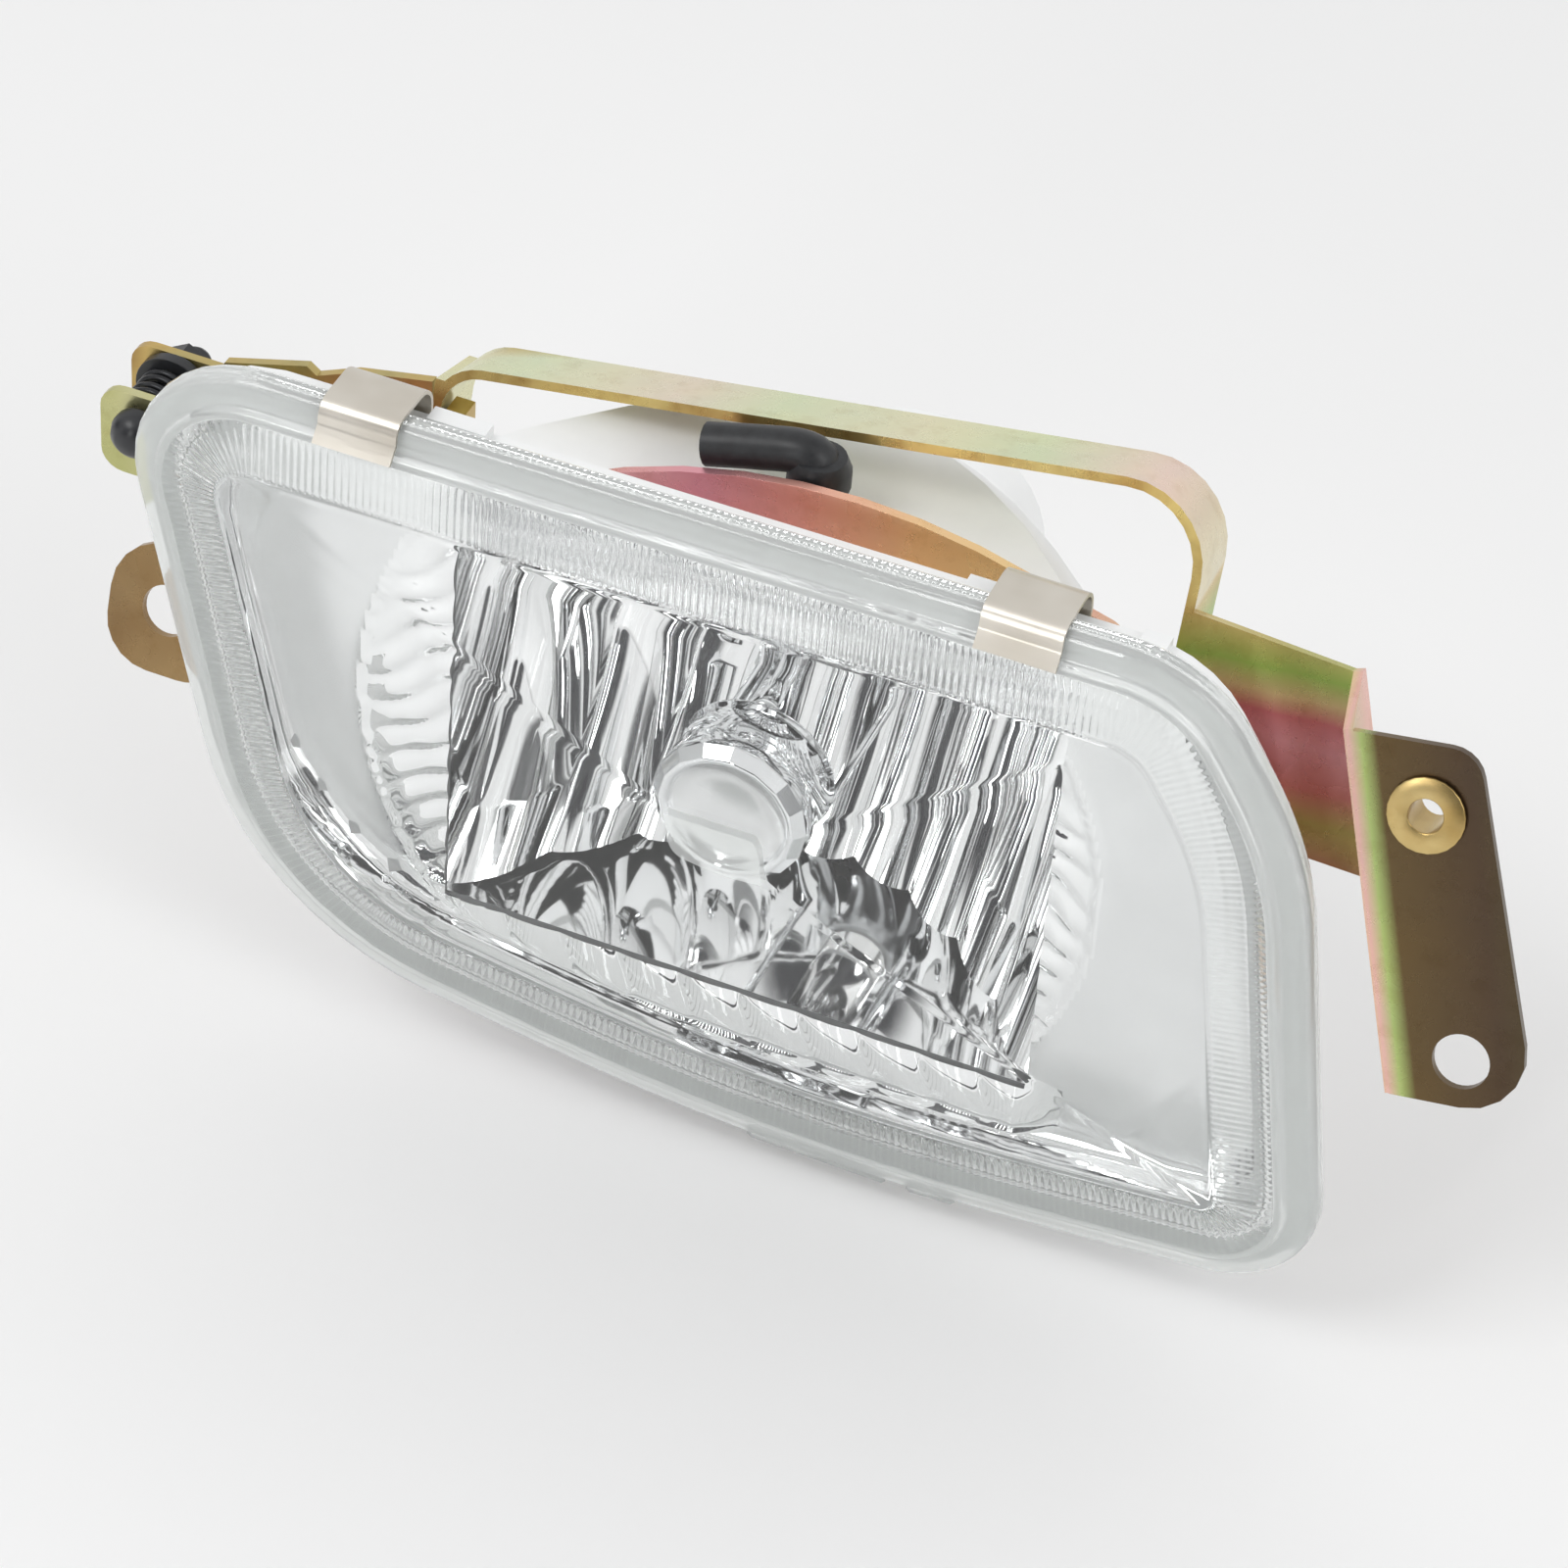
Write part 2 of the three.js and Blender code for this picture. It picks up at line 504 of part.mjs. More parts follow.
function carrier() {
  const edge = CARRIER_TAB_X + SHEET;
  const outline = rounded([
    [ADJ_X - 7, 31.2, 3.5], [ADJ_X + 8, 31.2], [-60, 39.6],
    ...archTop(-34, 37, 10, 52.5, 85),
    [BOWL_X + edge - 5, 44.7, 3], [BOWL_X + edge, 38, 3],
    [BOWL_X + edge, -46.5, 5], [BOWL_X - edge, -46.5, 5],
    [BOWL_X - edge, 12, 4], [ADJ_X + 12, 16.4, 6], [ADJ_X - 7, 16.4, 3.5],
  ]);
  const ears = screwPlaces().map(([x, z]) => rodY(4.8, CARRIER_Y, CARRIER_BACK_Y, x, z, 20));
  const plate = join(frontPlate(outline, CARRIER_Y, CARRIER_BACK_Y), ...ears);
  const flat = BOWL_FLAT_Z + WALL + 1;
  const wide = BOWL_FLAT_X + WALL + 1;
  const opening = frontPlate(rounded([
    [BOWL_X - wide, flat, 4], [BOWL_X + wide, flat, 4], [BOWL_X + wide, -flat, 4], [BOWL_X - wide, -flat, 4],
  ]), CARRIER_Y - 1, CARRIER_BACK_Y + 1);
  const tab = rounded([[CARRIER_Y, -12, 2], [PIVOT_Y + 9, -10, 8], [PIVOT_Y + 9, 10, 8], [CARRIER_Y, 12, 2]]);
  const tabs = [-1, 1].map((side) => {
    const near = BOWL_X + side * CARRIER_TAB_X;
    const far = near + side * SHEET;
    return sidePlate(tab, Math.min(near, far), Math.max(near, far));
  });
  const holes = screwPlaces().map(([x, z]) => rodY(2.3, CARRIER_Y - 1, CARRIER_BACK_Y + 1, x, z, 16));
  const screwHole = rodY(ADJ_SCREW_R + GAP, CARRIER_Y - 1, CARRIER_BACK_Y + 1, ADJ_X, ADJ_Z, 20);
  const pivots = turnedX([[0, -90], [BUSH_R + GAP, -90], [BUSH_R + GAP, 90], [0, 90]], BOWL_X, PIVOT_Y, 0);
  return cut(join(plate, ...tabs), opening, screwHole, pivots, ...holes);
}
const BUSH_R = 3.8;
add(lamp, 'lamp_carrier', carrier(), zinc());

screwPlaces().forEach(([x, z], i) => {
  const screw = turned([
    [0, FLOOR_BACK_Y], [1.4, FLOOR_BACK_Y], [1.4, CARRIER_BACK_Y + GAP],
    [3.9, CARRIER_BACK_Y + GAP], [3.9, CARRIER_BACK_Y + 1.6],
    [2.6, CARRIER_BACK_Y + 2.6], [0, CARRIER_BACK_Y + 2.8],
  ], x, z, 16);
  add(lamp, `carrier_screw_${i + 1}`, screw, steel());
});

[['left', -1], ['right', 1]].forEach(([name, side]) => {
  const near = BOWL_X + side * CARRIER_TAB_X;
  const far = near + side * SHEET;
  const bush = turnedX([
    [PIVOT_PIN_R + GAP, Math.min(near, far)], [BUSH_R, Math.min(near, far)],
    [BUSH_R, Math.max(near, far)], [PIVOT_PIN_R + GAP, Math.max(near, far)],
  ], 0, PIVOT_Y, 0);
  add(lamp, `pivot_bush_${name}`, bush, whitePlastic());
});

// ---------------------------------------------------------------- bracket, drawn upright about the pivot
function strap() {
  const rise = 0.14;
  const middle = 49.8;
  const leftX = BOWL_X - LEG_X;
  const rightX = BOWL_X + LEG_X;
  const path = rounded([
    [leftX, 20], [leftX, middle + rise * leftX, 7], [rightX, middle + rise * rightX, 11], [rightX, 20],
  ], true, 7);
  return frontPlate(band(path, SHEET), STRAP_FRONT, STRAP_BACK);
}

function sideWall(x0, frontLow, frontHigh) {
  const outline = rounded([
    [STRAP_FRONT, 40], [STRAP_FRONT, frontHigh, 3], [frontLow, frontHigh - 12, 3], [frontLow, -12, 2],
    [8, -12, 5], [8, 12, 6], [STRAP_BACK, 24, 4], [STRAP_BACK, 40],
  ]);
  return sidePlate(outline, x0, x0 + SHEET);
}

const TAB_LEAN = 0.35;           // sideways run of the tab's bend for each unit of drop
const TAB_TOP = [RIGHT_EDGE - 13.5, 33.6];
const WEB_TOP_Z = 39;
const WEB_BOTTOM_Z = 10;
const bendX = (z) => TAB_TOP[0] + TAB_LEAN * (TAB_TOP[1] - z);

function webPlate() {
  return frontPlate(rounded([
    [RIGHT_LEG_IN, WEB_TOP_Z + 1.4], [bendX(WEB_TOP_Z) + 0.6, WEB_TOP_Z],
    [bendX(WEB_BOTTOM_Z) + 0.6, WEB_BOTTOM_Z], [RIGHT_LEG_IN, WEB_BOTTOM_Z + 0.8],
  ]), STRAP_FRONT, STRAP_FRONT + SHEET);
}

const TAB_BOTTOM_Z = -16.7;
const HOLE = [RIGHT_EDGE + 13.3, -8.5];
const NUT = [RIGHT_EDGE + 0.5, 25.4];
const NUT_HOLE_R = 5.1;

function stepWall() {
  const along = new THREE.Vector3(TAB_LEAN, 0, -1).normalize();
  const normal = along.clone().cross(Y);
  const basis = new THREE.Matrix4().makeBasis(along, Y, normal);
  const down = (z) => (WEB_TOP_Z - z) / -along.z;
  const webBack = STRAP_FRONT + SHEET;
  const outline = rounded([
    [0, webBack], [0, STRAP_FRONT], [down(TAB_TOP[1]), TAB_FRONT], [down(TAB_BOTTOM_Z), TAB_FRONT],
    [down(TAB_BOTTOM_Z), TAB_FRONT + 5, 3],
    [down(WEB_BOTTOM_Z) + 6, webBack, 4], [down(WEB_BOTTOM_Z), webBack],
  ]);
  return extrude(outline, SHEET, basis, [bendX(WEB_TOP_Z), 0, WEB_TOP_Z]);
}

function boltTab() {
  const outline = rounded([
    [TAB_TOP[0], TAB_TOP[1], 0], [RIGHT_EDGE + 5.4, 36.3, 5], [RIGHT_EDGE + 25.5, -13.8, 8.6],
    [bendX(TAB_BOTTOM_Z), TAB_BOTTOM_Z, 1],
  ]);
  const hole = rodY(BOLT_R, TAB_FRONT - 1, TAB_BACK + 1, ...HOLE, 32);
  const nutHole = rodY(NUT_HOLE_R, TAB_FRONT - 1, TAB_BACK + 1, ...NUT, 24);
  return cut(frontPlate(outline, TAB_FRONT, TAB_BACK), hole, nutHole);
}

const EAR_HOLE = [LEFT_EDGE + 1.3, -12.3];
function boltEar() {
  const outline = rounded([
    [LEFT_LEG_IN, -5.7], [-67, -5.7, 4], [LEFT_EDGE + 22.5, -1.8, 6], [LEFT_EDGE - 8.4, -1.8, 9],
    [LEFT_EDGE - 8.2, -22.8, 7.5], [LEFT_EDGE + 8.5, -22.8, 8], [LEFT_EDGE + 16.5, -11.5, 8],
    [LEFT_LEG_IN, -11.5],
  ]);
  const hole = rodY(BOLT_R, EAR_FRONT - 1, EAR_BACK + 1, ...EAR_HOLE, 32);
  return cut(frontPlate(outline, EAR_FRONT, EAR_BACK), hole);
}

function mountingBracket() {
  const body = join(strap(), sideWall(LEFT_LEG_IN - SHEET, EAR_FRONT, 27), sideWall(RIGHT_LEG_IN, -4.3, 16),
    webPlate(), stepWall(), boltTab(), boltEar());
  const pins = turnedX([[0, -90], [PIVOT_PIN_R + GAP, -90], [PIVOT_PIN_R + GAP, 90], [0, 90]], BOWL_X, 0, 0);
  return cut(body, pins);
}
add(bracket, 'mounting_bracket', mountingBracket(), zinc());

[['left', -1], ['right', 1]].forEach(([name, side]) => {
  const inside = CARRIER_TAB_X - GAP;
  const outside = LEG_X + LEG_HALF + GAP;
  const pin = turnedX([
    [0, inside - 2], [PIVOT_PIN_R + 1.8, inside - 2], [PIVOT_PIN_R + 1.8, inside], [PIVOT_PIN_R, inside],
    [PIVOT_PIN_R, outside], [PIVOT_PIN_R + 2.4, outside],
    [PIVOT_PIN_R + 1.2, outside + 1.8], [0, outside + 2],
  ], 0, 0, 0);
  const turnedOut = side < 0 ? pin.mirror([1, 0, 0]) : pin;
  add(bracket, `pivot_pin_${name}`, turnedOut.translate([BOWL_X, 0, 0]), steel());
});

add(bracket, 'clinch_nut', turned([
  [2.5, TAB_FRONT - 1], [4.2, TAB_FRONT - 1.1], [5.6, TAB_FRONT - 0.9], [5.6, TAB_FRONT - GAP],
  [NUT_HOLE_R - GAP, TAB_FRONT - GAP], [NUT_HOLE_R - GAP, TAB_BACK + 4.8], [NUT_HOLE_R - 0.9, TAB_BACK + 5.4],
  [2.5, TAB_BACK + 5.4],
], ...NUT, 24), zinc());

bracket.position.set(0, PIVOT_Y, 0);
bracket.rotation.x = -THREE.MathUtils.degToRad(BRACKET_LEAN);

// ---------------------------------------------------------------- adjuster
const BACK_EAR_END = BACK_EAR_Y + SHEET;
const armEnd = LEFT_LEG_IN - SHEET - GAP;
const arm = frontPlate(rounded([
  [ADJ_X - 7.5, 31.8, 3.5], [ADJ_X + 7, 31.8], [ADJ_X + 7.8, 33.2], [ADJ_X + 21, 37.2], [ADJ_X + 22.6, 36],
  [ADJ_X + 29, 38.9], [armEnd, 41.5], [armEnd, 31], [ADJ_X + 10, 19, 5], [ADJ_X - 7.5, 19, 3.5],
]), BACK_EAR_Y, BACK_EAR_END);
const nutHole = rodY(ADJ_EAR_R + 0.8, BACK_EAR_Y - 1, BACK_EAR_END + 1, ADJ_X, ADJ_Z);
add(adjuster, 'adjuster_arm', cut(arm, nutHole), zinc());
add(adjuster, 'arm_weld', box(
  LEFT_LEG_IN + GAP, LEFT_LEG_IN + 3.4, BACK_EAR_Y, BACK_EAR_Y + 4, 31.5, 37,
), zinc());

const HEAD_R = 3.8;
add(adjuster, 'adjuster_screw', turned([
  [0, CARRIER_Y - 5.6], [1.9, CARRIER_Y - 5.3], [3.2, CARRIER_Y - 4.2], [HEAD_R, CARRIER_Y - 2.8],
  [HEAD_R, CARRIER_Y - 1.4], [HEAD_R - 0.5, CARRIER_Y - 0.7], [ADJ_SCREW_R, CARRIER_Y - 0.7],
  [ADJ_SCREW_R, BACK_EAR_END + 5.2], [ADJ_SCREW_R - 0.6, BACK_EAR_END + 6], [0, BACK_EAR_END + 6],
], ADJ_X, ADJ_Z, 24), blackPlastic());

const SWIVEL = 0.7;              // room for the screw to tilt in the nut
const washerY = BACK_EAR_Y - GAP - 1.8;
const washer = tubeY(ADJ_SCREW_R + SWIVEL, 5.8, washerY, washerY + 1.8, ADJ_X, ADJ_Z);
add(adjuster, 'adjuster_washer', washer, blackPlastic());
const nutBack = BACK_EAR_END + GAP;
const nut = join(
  rodY(ADJ_EAR_R + 0.5, BACK_EAR_Y + GAP, nutBack + 1, ADJ_X, ADJ_Z),
  turned([
    [0, nutBack], [4.9, nutBack], [4.9, nutBack + 2.2], [4.2, nutBack + 2.8], [0, nutBack + 2.8],
  ], ADJ_X, ADJ_Z, 6),
);
add(adjuster, 'adjuster_nut', cut(nut, rodY(ADJ_SCREW_R + SWIVEL, 0, 60, ADJ_X, ADJ_Z)), blackPlastic());

class Coil extends THREE.Curve {
  constructor(radius, turns, y0, y1) {
    super();
    Object.assign(this, { radius, turns, y0, y1 });
  }

  getPoint(t, target = new THREE.Vector3()) {
    const a = t * this.turns * 2 * Math.PI;
    const y = this.y0 + (this.y1 - this.y0) * t;
    return target.set(ADJ_X + this.radius * Math.cos(a), y, ADJ_Z + this.radius * Math.sin(a));
  }
}
const WIRE_R = 0.6;
const springFrom = CARRIER_BACK_Y + GAP + WIRE_R;
const springTo = washerY - GAP - WIRE_R;
const wire = new THREE.Shape(new THREE.Path().absarc(0, 0, WIRE_R, 0, 2 * Math.PI).getPoints(3).slice(0, -1));
add(adjuster, 'adjuster_spring', solid(new THREE.ExtrudeGeometry(wire, {
  steps: 60, extrudePath: new Coil(4.1, 3.5, springFrom, springTo), bevelEnabled: false,
})), steel());

// ---------------------------------------------------------------- assembly
const seat = new THREE.Vector3(RIGHT_EDGE + 5.5, TAB_BACK, 10);
seat.applyEuler(bracket.rotation).add(bracket.position);
const fogLight = new THREE.Group();
fogLight.add(lamp, bracket, adjuster);
fogLight.position.copy(seat).negate();

export default fogLight;
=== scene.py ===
# Fog light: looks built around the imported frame.
import math

import bmesh
import bpy
import numpy as np
from mathutils import Matrix, Vector


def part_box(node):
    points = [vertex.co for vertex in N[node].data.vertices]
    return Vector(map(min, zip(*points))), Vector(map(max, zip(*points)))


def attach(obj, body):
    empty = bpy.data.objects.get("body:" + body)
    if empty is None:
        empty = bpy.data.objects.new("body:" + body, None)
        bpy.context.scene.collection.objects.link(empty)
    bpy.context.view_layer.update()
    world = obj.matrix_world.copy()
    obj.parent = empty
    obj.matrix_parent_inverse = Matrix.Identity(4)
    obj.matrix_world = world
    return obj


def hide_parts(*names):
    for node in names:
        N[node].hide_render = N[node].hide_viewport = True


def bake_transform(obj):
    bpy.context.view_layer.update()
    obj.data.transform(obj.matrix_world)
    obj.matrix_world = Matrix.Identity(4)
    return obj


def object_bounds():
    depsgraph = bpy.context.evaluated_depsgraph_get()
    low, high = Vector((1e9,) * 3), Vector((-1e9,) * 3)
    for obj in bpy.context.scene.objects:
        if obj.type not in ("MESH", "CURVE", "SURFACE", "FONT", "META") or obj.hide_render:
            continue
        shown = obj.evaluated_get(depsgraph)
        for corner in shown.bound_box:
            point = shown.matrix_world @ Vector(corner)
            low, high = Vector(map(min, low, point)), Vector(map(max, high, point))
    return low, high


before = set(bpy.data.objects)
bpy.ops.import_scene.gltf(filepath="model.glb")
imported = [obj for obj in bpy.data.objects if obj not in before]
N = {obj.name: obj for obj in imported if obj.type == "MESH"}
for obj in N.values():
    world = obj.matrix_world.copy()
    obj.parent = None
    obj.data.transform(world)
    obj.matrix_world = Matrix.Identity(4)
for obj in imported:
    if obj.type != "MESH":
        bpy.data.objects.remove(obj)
CAD_BOX = [list(map(float, v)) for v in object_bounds()]

# The lamp is laid out from the centre of the lens plane, in millimetres: X right, Y into the lamp, Z up.
# The bracket leans back about the pivot. ORIGIN, the bolt hole in its tab, is the row frame's origin.
MM = 1000                         # millimetres in a metre
LEAN = math.radians(18)
PIVOT_Y = 24
TAB_AHEAD, TAB_ABOVE = 18.7, 10   # from the pivot to the bolt hole, along the leaning bracket and across it
ORIGIN = (
    101.0,
    PIVOT_Y - TAB_AHEAD * math.cos(LEAN) + TAB_ABOVE * math.sin(LEAN),
    TAB_AHEAD * math.sin(LEAN) + TAB_ABOVE * math.cos(LEAN),
)


def P(x, y, z):
    """A point of the lamp's layout, in the row frame, in metres."""
    return Vector(((x - ORIGIN[0]) / MM, (y - ORIGIN[1]) / MM, (z - ORIGIN[2]) / MM))


# ------------------------------------------------------------------ camera
AZ, EL, ROLL = math.radians(20), math.radians(41.5), math.radians(-4.5)
CAMERA_FAR = 834.0                    # from the lens, in millimetres
LENS_RIGHT, LENS_UP = -7.645, -5.56   # where the lens centre stands from the middle of the view
right = Vector((math.cos(AZ), math.sin(AZ), 0))
back = Vector((math.sin(AZ) * math.cos(EL), -math.cos(AZ) * math.cos(EL), math.sin(EL)))
up = back.cross(right)
cam_right = right * math.cos(ROLL) - up * math.sin(ROLL)
cam_up = right * math.sin(ROLL) + up * math.cos(ROLL)
cam_at = back * CAMERA_FAR - cam_right * LENS_RIGHT - cam_up * LENS_UP
cam_data = bpy.data.cameras.new("camera")
cam_data.lens = 135
cam_data.sensor_width = 36
cam_data.clip_start = 0.01
camera = bpy.data.objects.new("camera", cam_data)
bpy.context.scene.collection.objects.link(camera)
rot = Matrix((cam_right, cam_up, back)).transposed().to_4x4()
camera.matrix_world = Matrix.Translation(P(*cam_at)) @ rot
bpy.context.scene.camera = camera


# ------------------------------------------------------------------ materials
class Nodes:
    """A small helper for building a node material."""

    def __init__(self, name):
        self.mat = bpy.data.materials.new(name)
        self.mat.use_nodes = True
        self.tree = self.mat.node_tree
        self.bsdf = self.tree.nodes["Principled BSDF"]
        self.coord = self.add("ShaderNodeTexCoord")

    def add(self, kind, **values):
        node = self.tree.nodes.new(kind)
        for key, value in values.items():
            if hasattr(node, key):
                setattr(node, key, value)
            else:
                node.inputs[key.replace("_", " ")].default_value = value
        return node

    def link(self, a, b):
        self.tree.links.new(a, b)

    def noise(self, scale, detail=3.0, rough=0.55, stretch=None):
        n = self.add("ShaderNodeTexNoise")
        n.inputs["Scale"].default_value = scale
        n.inputs["Detail"].default_value = detail
        n.inputs["Roughness"].default_value = rough
        src = self.coord.outputs["Object"]
        if stretch:
            m = self.add("ShaderNodeMapping")
            m.inputs["Scale"].default_value = stretch
            self.link(src, m.inputs["Vector"])
            src = m.outputs["Vector"]
        self.link(src, n.inputs["Vector"])
        return n.outputs["Fac"]

    def ramp(self, fac, stops):
        r = self.add("ShaderNodeValToRGB")
        while len(r.color_ramp.elements) < len(stops):
            r.color_ramp.elements.new(0.5)
        for e, (at, col) in zip(r.color_ramp.elements, stops):
            e.position = at
            e.color = (*col, 1)
        self.link(fac, r.inputs["Fac"])
        return r.outputs["Color"]

    def grey(self, fac, a, b):
        """fac from 0 to 1, carried over to a to b."""
        m = self.add("ShaderNodeMapRange")
        m.inputs["To Min"].default_value = a
        m.inputs["To Max"].default_value = b
        self.link(fac, m.inputs["Value"])
        return m.outputs["Result"]

    def mix(self, fac, a, b, blend="MIX"):
        m = self.add("ShaderNodeMix", data_type="RGBA", blend_type=blend)
        for name, kind, value in (("Factor", "VALUE", fac), ("A", "RGBA", a), ("B", "RGBA", b)):
            socket = next(s for s in m.inputs if s.name == name and s.type == kind)
            if isinstance(value, bpy.types.NodeSocket):
                self.link(value, socket)
            else:
                socket.default_value = value
        return next(s for s in m.outputs if s.type == "RGBA")

    def bump(self, height, strength=0.2, distance=0.0002):
        b = self.add("ShaderNodeBump")
        b.inputs["Strength"].default_value = strength
        b.inputs["Distance"].default_value = distance
        self.link(height, b.inputs["Height"])
        self.link(b.outputs["Normal"], self.bsdf.inputs["Normal"])

    def set(self, **values):
        for key, value in values.items():
            sock = self.bsdf.inputs[key.replace("_", " ")]
            if isinstance(value, bpy.types.NodeSocket):
                self.link(value, sock)
            elif isinstance(value, tuple) and len(value) == 3:
                sock.default_value = (*value, 1)
            else:
                sock.default_value = value
        return self.mat


def zinc(m, colour, rough=0.26):
    """Yellow chromated zinc: a colour film over metal, with stains and fine rolling marks."""
    stains = m.ramp(m.noise(240, 5.0, 0.65), [(0.36, (0.80, 0.74, 0.64)), (0.47, (1, 1, 1))])
    colour = m.mix(0.35, colour, stains, "MULTIPLY")
    mottle = m.ramp(m.noise(70, 3.0, 0.6), [(0.35, (0.93, 0.95, 0.98)), (0.65, (1.0, 0.99, 0.94))])
    colour = m.mix(0.8, colour, mottle, "MULTIPLY")
    m.bump(m.noise(900, 4.0, 0.6, stretch=(0.25, 1.0, 1.0)), 0.08, 0.00005)
    gloss = m.grey(m.noise(300, 4), rough - 0.06, rough + 0.1)
    return m.set(Base_Color=colour, Metallic=0.85, Roughness=gloss)


def warped(m, amount=0.006, scale=26):
    """Object coordinates pushed about by a soft noise, as X, Y and Z."""
    n = m.add("ShaderNodeTexNoise")
    n.inputs["Scale"].default_value = scale
    n.inputs["Detail"].default_value = 2.0
    m.link(m.coord.outputs["Object"], n.inputs["Vector"])
    sub = m.add("ShaderNodeVectorMath", operation="SUBTRACT")
    m.link(n.outputs["Color"], sub.inputs[0])
    sub.inputs[1].default_value = (0.5, 0.5, 0.5)
    mul = m.add("ShaderNodeVectorMath", operation="SCALE")
    m.link(sub.outputs["Vector"], mul.inputs[0])
    mul.inputs["Scale"].default_value = amount * 2
    add = m.add("ShaderNodeVectorMath", operation="ADD")
    m.link(m.coord.outputs["Object"], add.inputs[0])
    m.link(mul.outputs["Vector"], add.inputs[1])
    sep = m.add("ShaderNodeSeparateXYZ")
    m.link(add.outputs["Vector"], sep.inputs[0])
    return sep.outputs["X"], sep.outputs["Y"], sep.outputs["Z"]


def spread(m, value, low, high):
    """value mapped so that low gives 0 and high gives 1."""
    r = m.add("ShaderNodeMapRange")
    r.inputs["From Min"].default_value = low
    r.inputs["From Max"].default_value = high
    m.link(value, r.inputs["Value"])
    return r.outputs["Result"]


def edge_mask(m, axis, low, high):
    """1 on faces whose normal points down the axis (0, 1 or 2) past high."""
    sep = m.add("ShaderNodeSeparateXYZ")
    m.link(m.coord.outputs["Normal"], sep.inputs[0])
    return spread(m, sep.outputs[axis], low, high)


TAB_EDGE_SLOPE = 0.368   # how far the tab's bent edge runs sideways for its drop


def bracket_zinc():
    """The bracket's film: pale on the strap, pink and green on the web, dark on the tab and the ear. The
    bright strip along the tab's bent edge is a painted highlight, and the tab's dark is partly the film's own
    colour and partly a painted dark reflection.
    """
    m = Nodes("zinc_bracket")
    x, _, z = warped(m)
    place = m.add("ShaderNodeSeparateXYZ")
    m.link(m.coord.outputs["Object"], place.inputs[0])
    strap = m.ramp(spread(m, x, -0.165, -0.035), [
        (0.0, (0.80, 0.72, 0.42)), (0.14, (0.74, 0.80, 0.52)), (0.30, (0.84, 0.72, 0.56)),
        (0.42, (0.72, 0.78, 0.50)), (0.58, (0.80, 0.76, 0.52)), (0.72, (0.72, 0.78, 0.48)),
        (0.86, (0.88, 0.68, 0.58)), (1.0, (0.70, 0.78, 0.42)),
    ])
    gold = m.ramp(m.noise(120, 3), [(0.35, (0.55, 0.36, 0.12)), (0.65, (0.80, 0.62, 0.24))])
    strap = m.mix(edge_mask(m, 1, -0.55, -0.8), strap, gold)
    web = m.ramp(spread(m, z, -0.004, 0.029), [
        (0.0, (0.42, 0.20, 0.12)), (0.16, (0.50, 0.40, 0.14)), (0.30, (0.70, 0.26, 0.24)),
        (0.48, (0.78, 0.36, 0.40)), (0.60, (0.62, 0.20, 0.22)), (0.70, (0.66, 0.50, 0.26)),
        (0.82, (0.36, 0.50, 0.12)), (1.0, (0.70, 0.50, 0.20)),
    ])
    lean = m.add("ShaderNodeMath", operation="MULTIPLY_ADD")
    m.link(place.outputs["Z"], lean.inputs[0])
    lean.inputs[1].default_value = TAB_EDGE_SLOPE
    m.link(place.outputs["X"], lean.inputs[2])
    # the tab: the gold, pink and green at its bent edge are a painted highlight; the dark olive beyond is
    # partly film colour and partly a painted dark reflection
    tab = m.ramp(spread(m, lean.outputs[0], -0.0115, 0.0265), [
        (0.0, (0.80, 0.62, 0.34)), (0.04, (0.86, 0.52, 0.46)), (0.09, (0.46, 0.56, 0.20)),
        (0.15, (0.15, 0.10, 0.045)), (0.5, (0.10, 0.066, 0.042)), (0.8, (0.11, 0.095, 0.045)),
        (1.0, (0.26, 0.16, 0.06)),
    ])
    body = m.mix(spread(m, lean.outputs[0], -0.0117, -0.0113), web, tab)
    body = m.mix(spread(m, place.outputs["Z"], 0.0262, 0.0275), body, strap)
    ear = m.ramp(m.noise(45, 2), [(0.35, (0.27, 0.165, 0.075)), (0.65, (0.40, 0.27, 0.13))])
    leg = m.mix(spread(m, place.outputs["X"], -0.153, -0.157), body, strap)
    out = m.mix(spread(m, place.outputs["X"], -0.160, -0.163), leg, ear)
    return zinc(m, out)


def carrier_zinc():
    """The carrier's film: pink to orange over the arch, olive on the adjuster's ear."""
    m = Nodes("zinc_carrier")
    x, _, _ = warped(m, 0.004)
    arch = m.ramp(spread(m, x, -0.135, -0.05), [
        (0.0, (0.72, 0.40, 0.40)), (0.25, (0.80, 0.36, 0.42)), (0.45, (0.88, 0.46, 0.38)),
        (0.62, (0.92, 0.62, 0.34)), (0.78, (0.92, 0.66, 0.34)), (0.9, (0.92, 0.52, 0.42)),
        (1.0, (0.80, 0.60, 0.40)),
    ])
    ear = m.ramp(m.noise(60, 2), [(0.35, (0.50, 0.50, 0.22)), (0.65, (0.62, 0.60, 0.34))])
    return zinc(m, m.mix(spread(m, x, -0.180, -0.186), arch, ear))


def arm_zinc():
    m = Nodes("zinc_arm")
    stops = [(0.35, (0.36, 0.22, 0.08)), (0.5, (0.62, 0.44, 0.16)), (0.66, (0.50, 0.42, 0.18))]
    return zinc(m, m.ramp(m.noise(55, 2.5), stops), 0.32)


def nut_zinc():
    m = Nodes("zinc_nut")
    stops = [(0.35, (0.50, 0.34, 0.12)), (0.65, (0.72, 0.56, 0.26))]
    return zinc(m, m.ramp(m.noise(90, 2.5), stops), 0.22)


MAT = {"strap": bracket_zinc(), "carrier": carrier_zinc(), "arm": arm_zinc(), "nut": nut_zinc()}


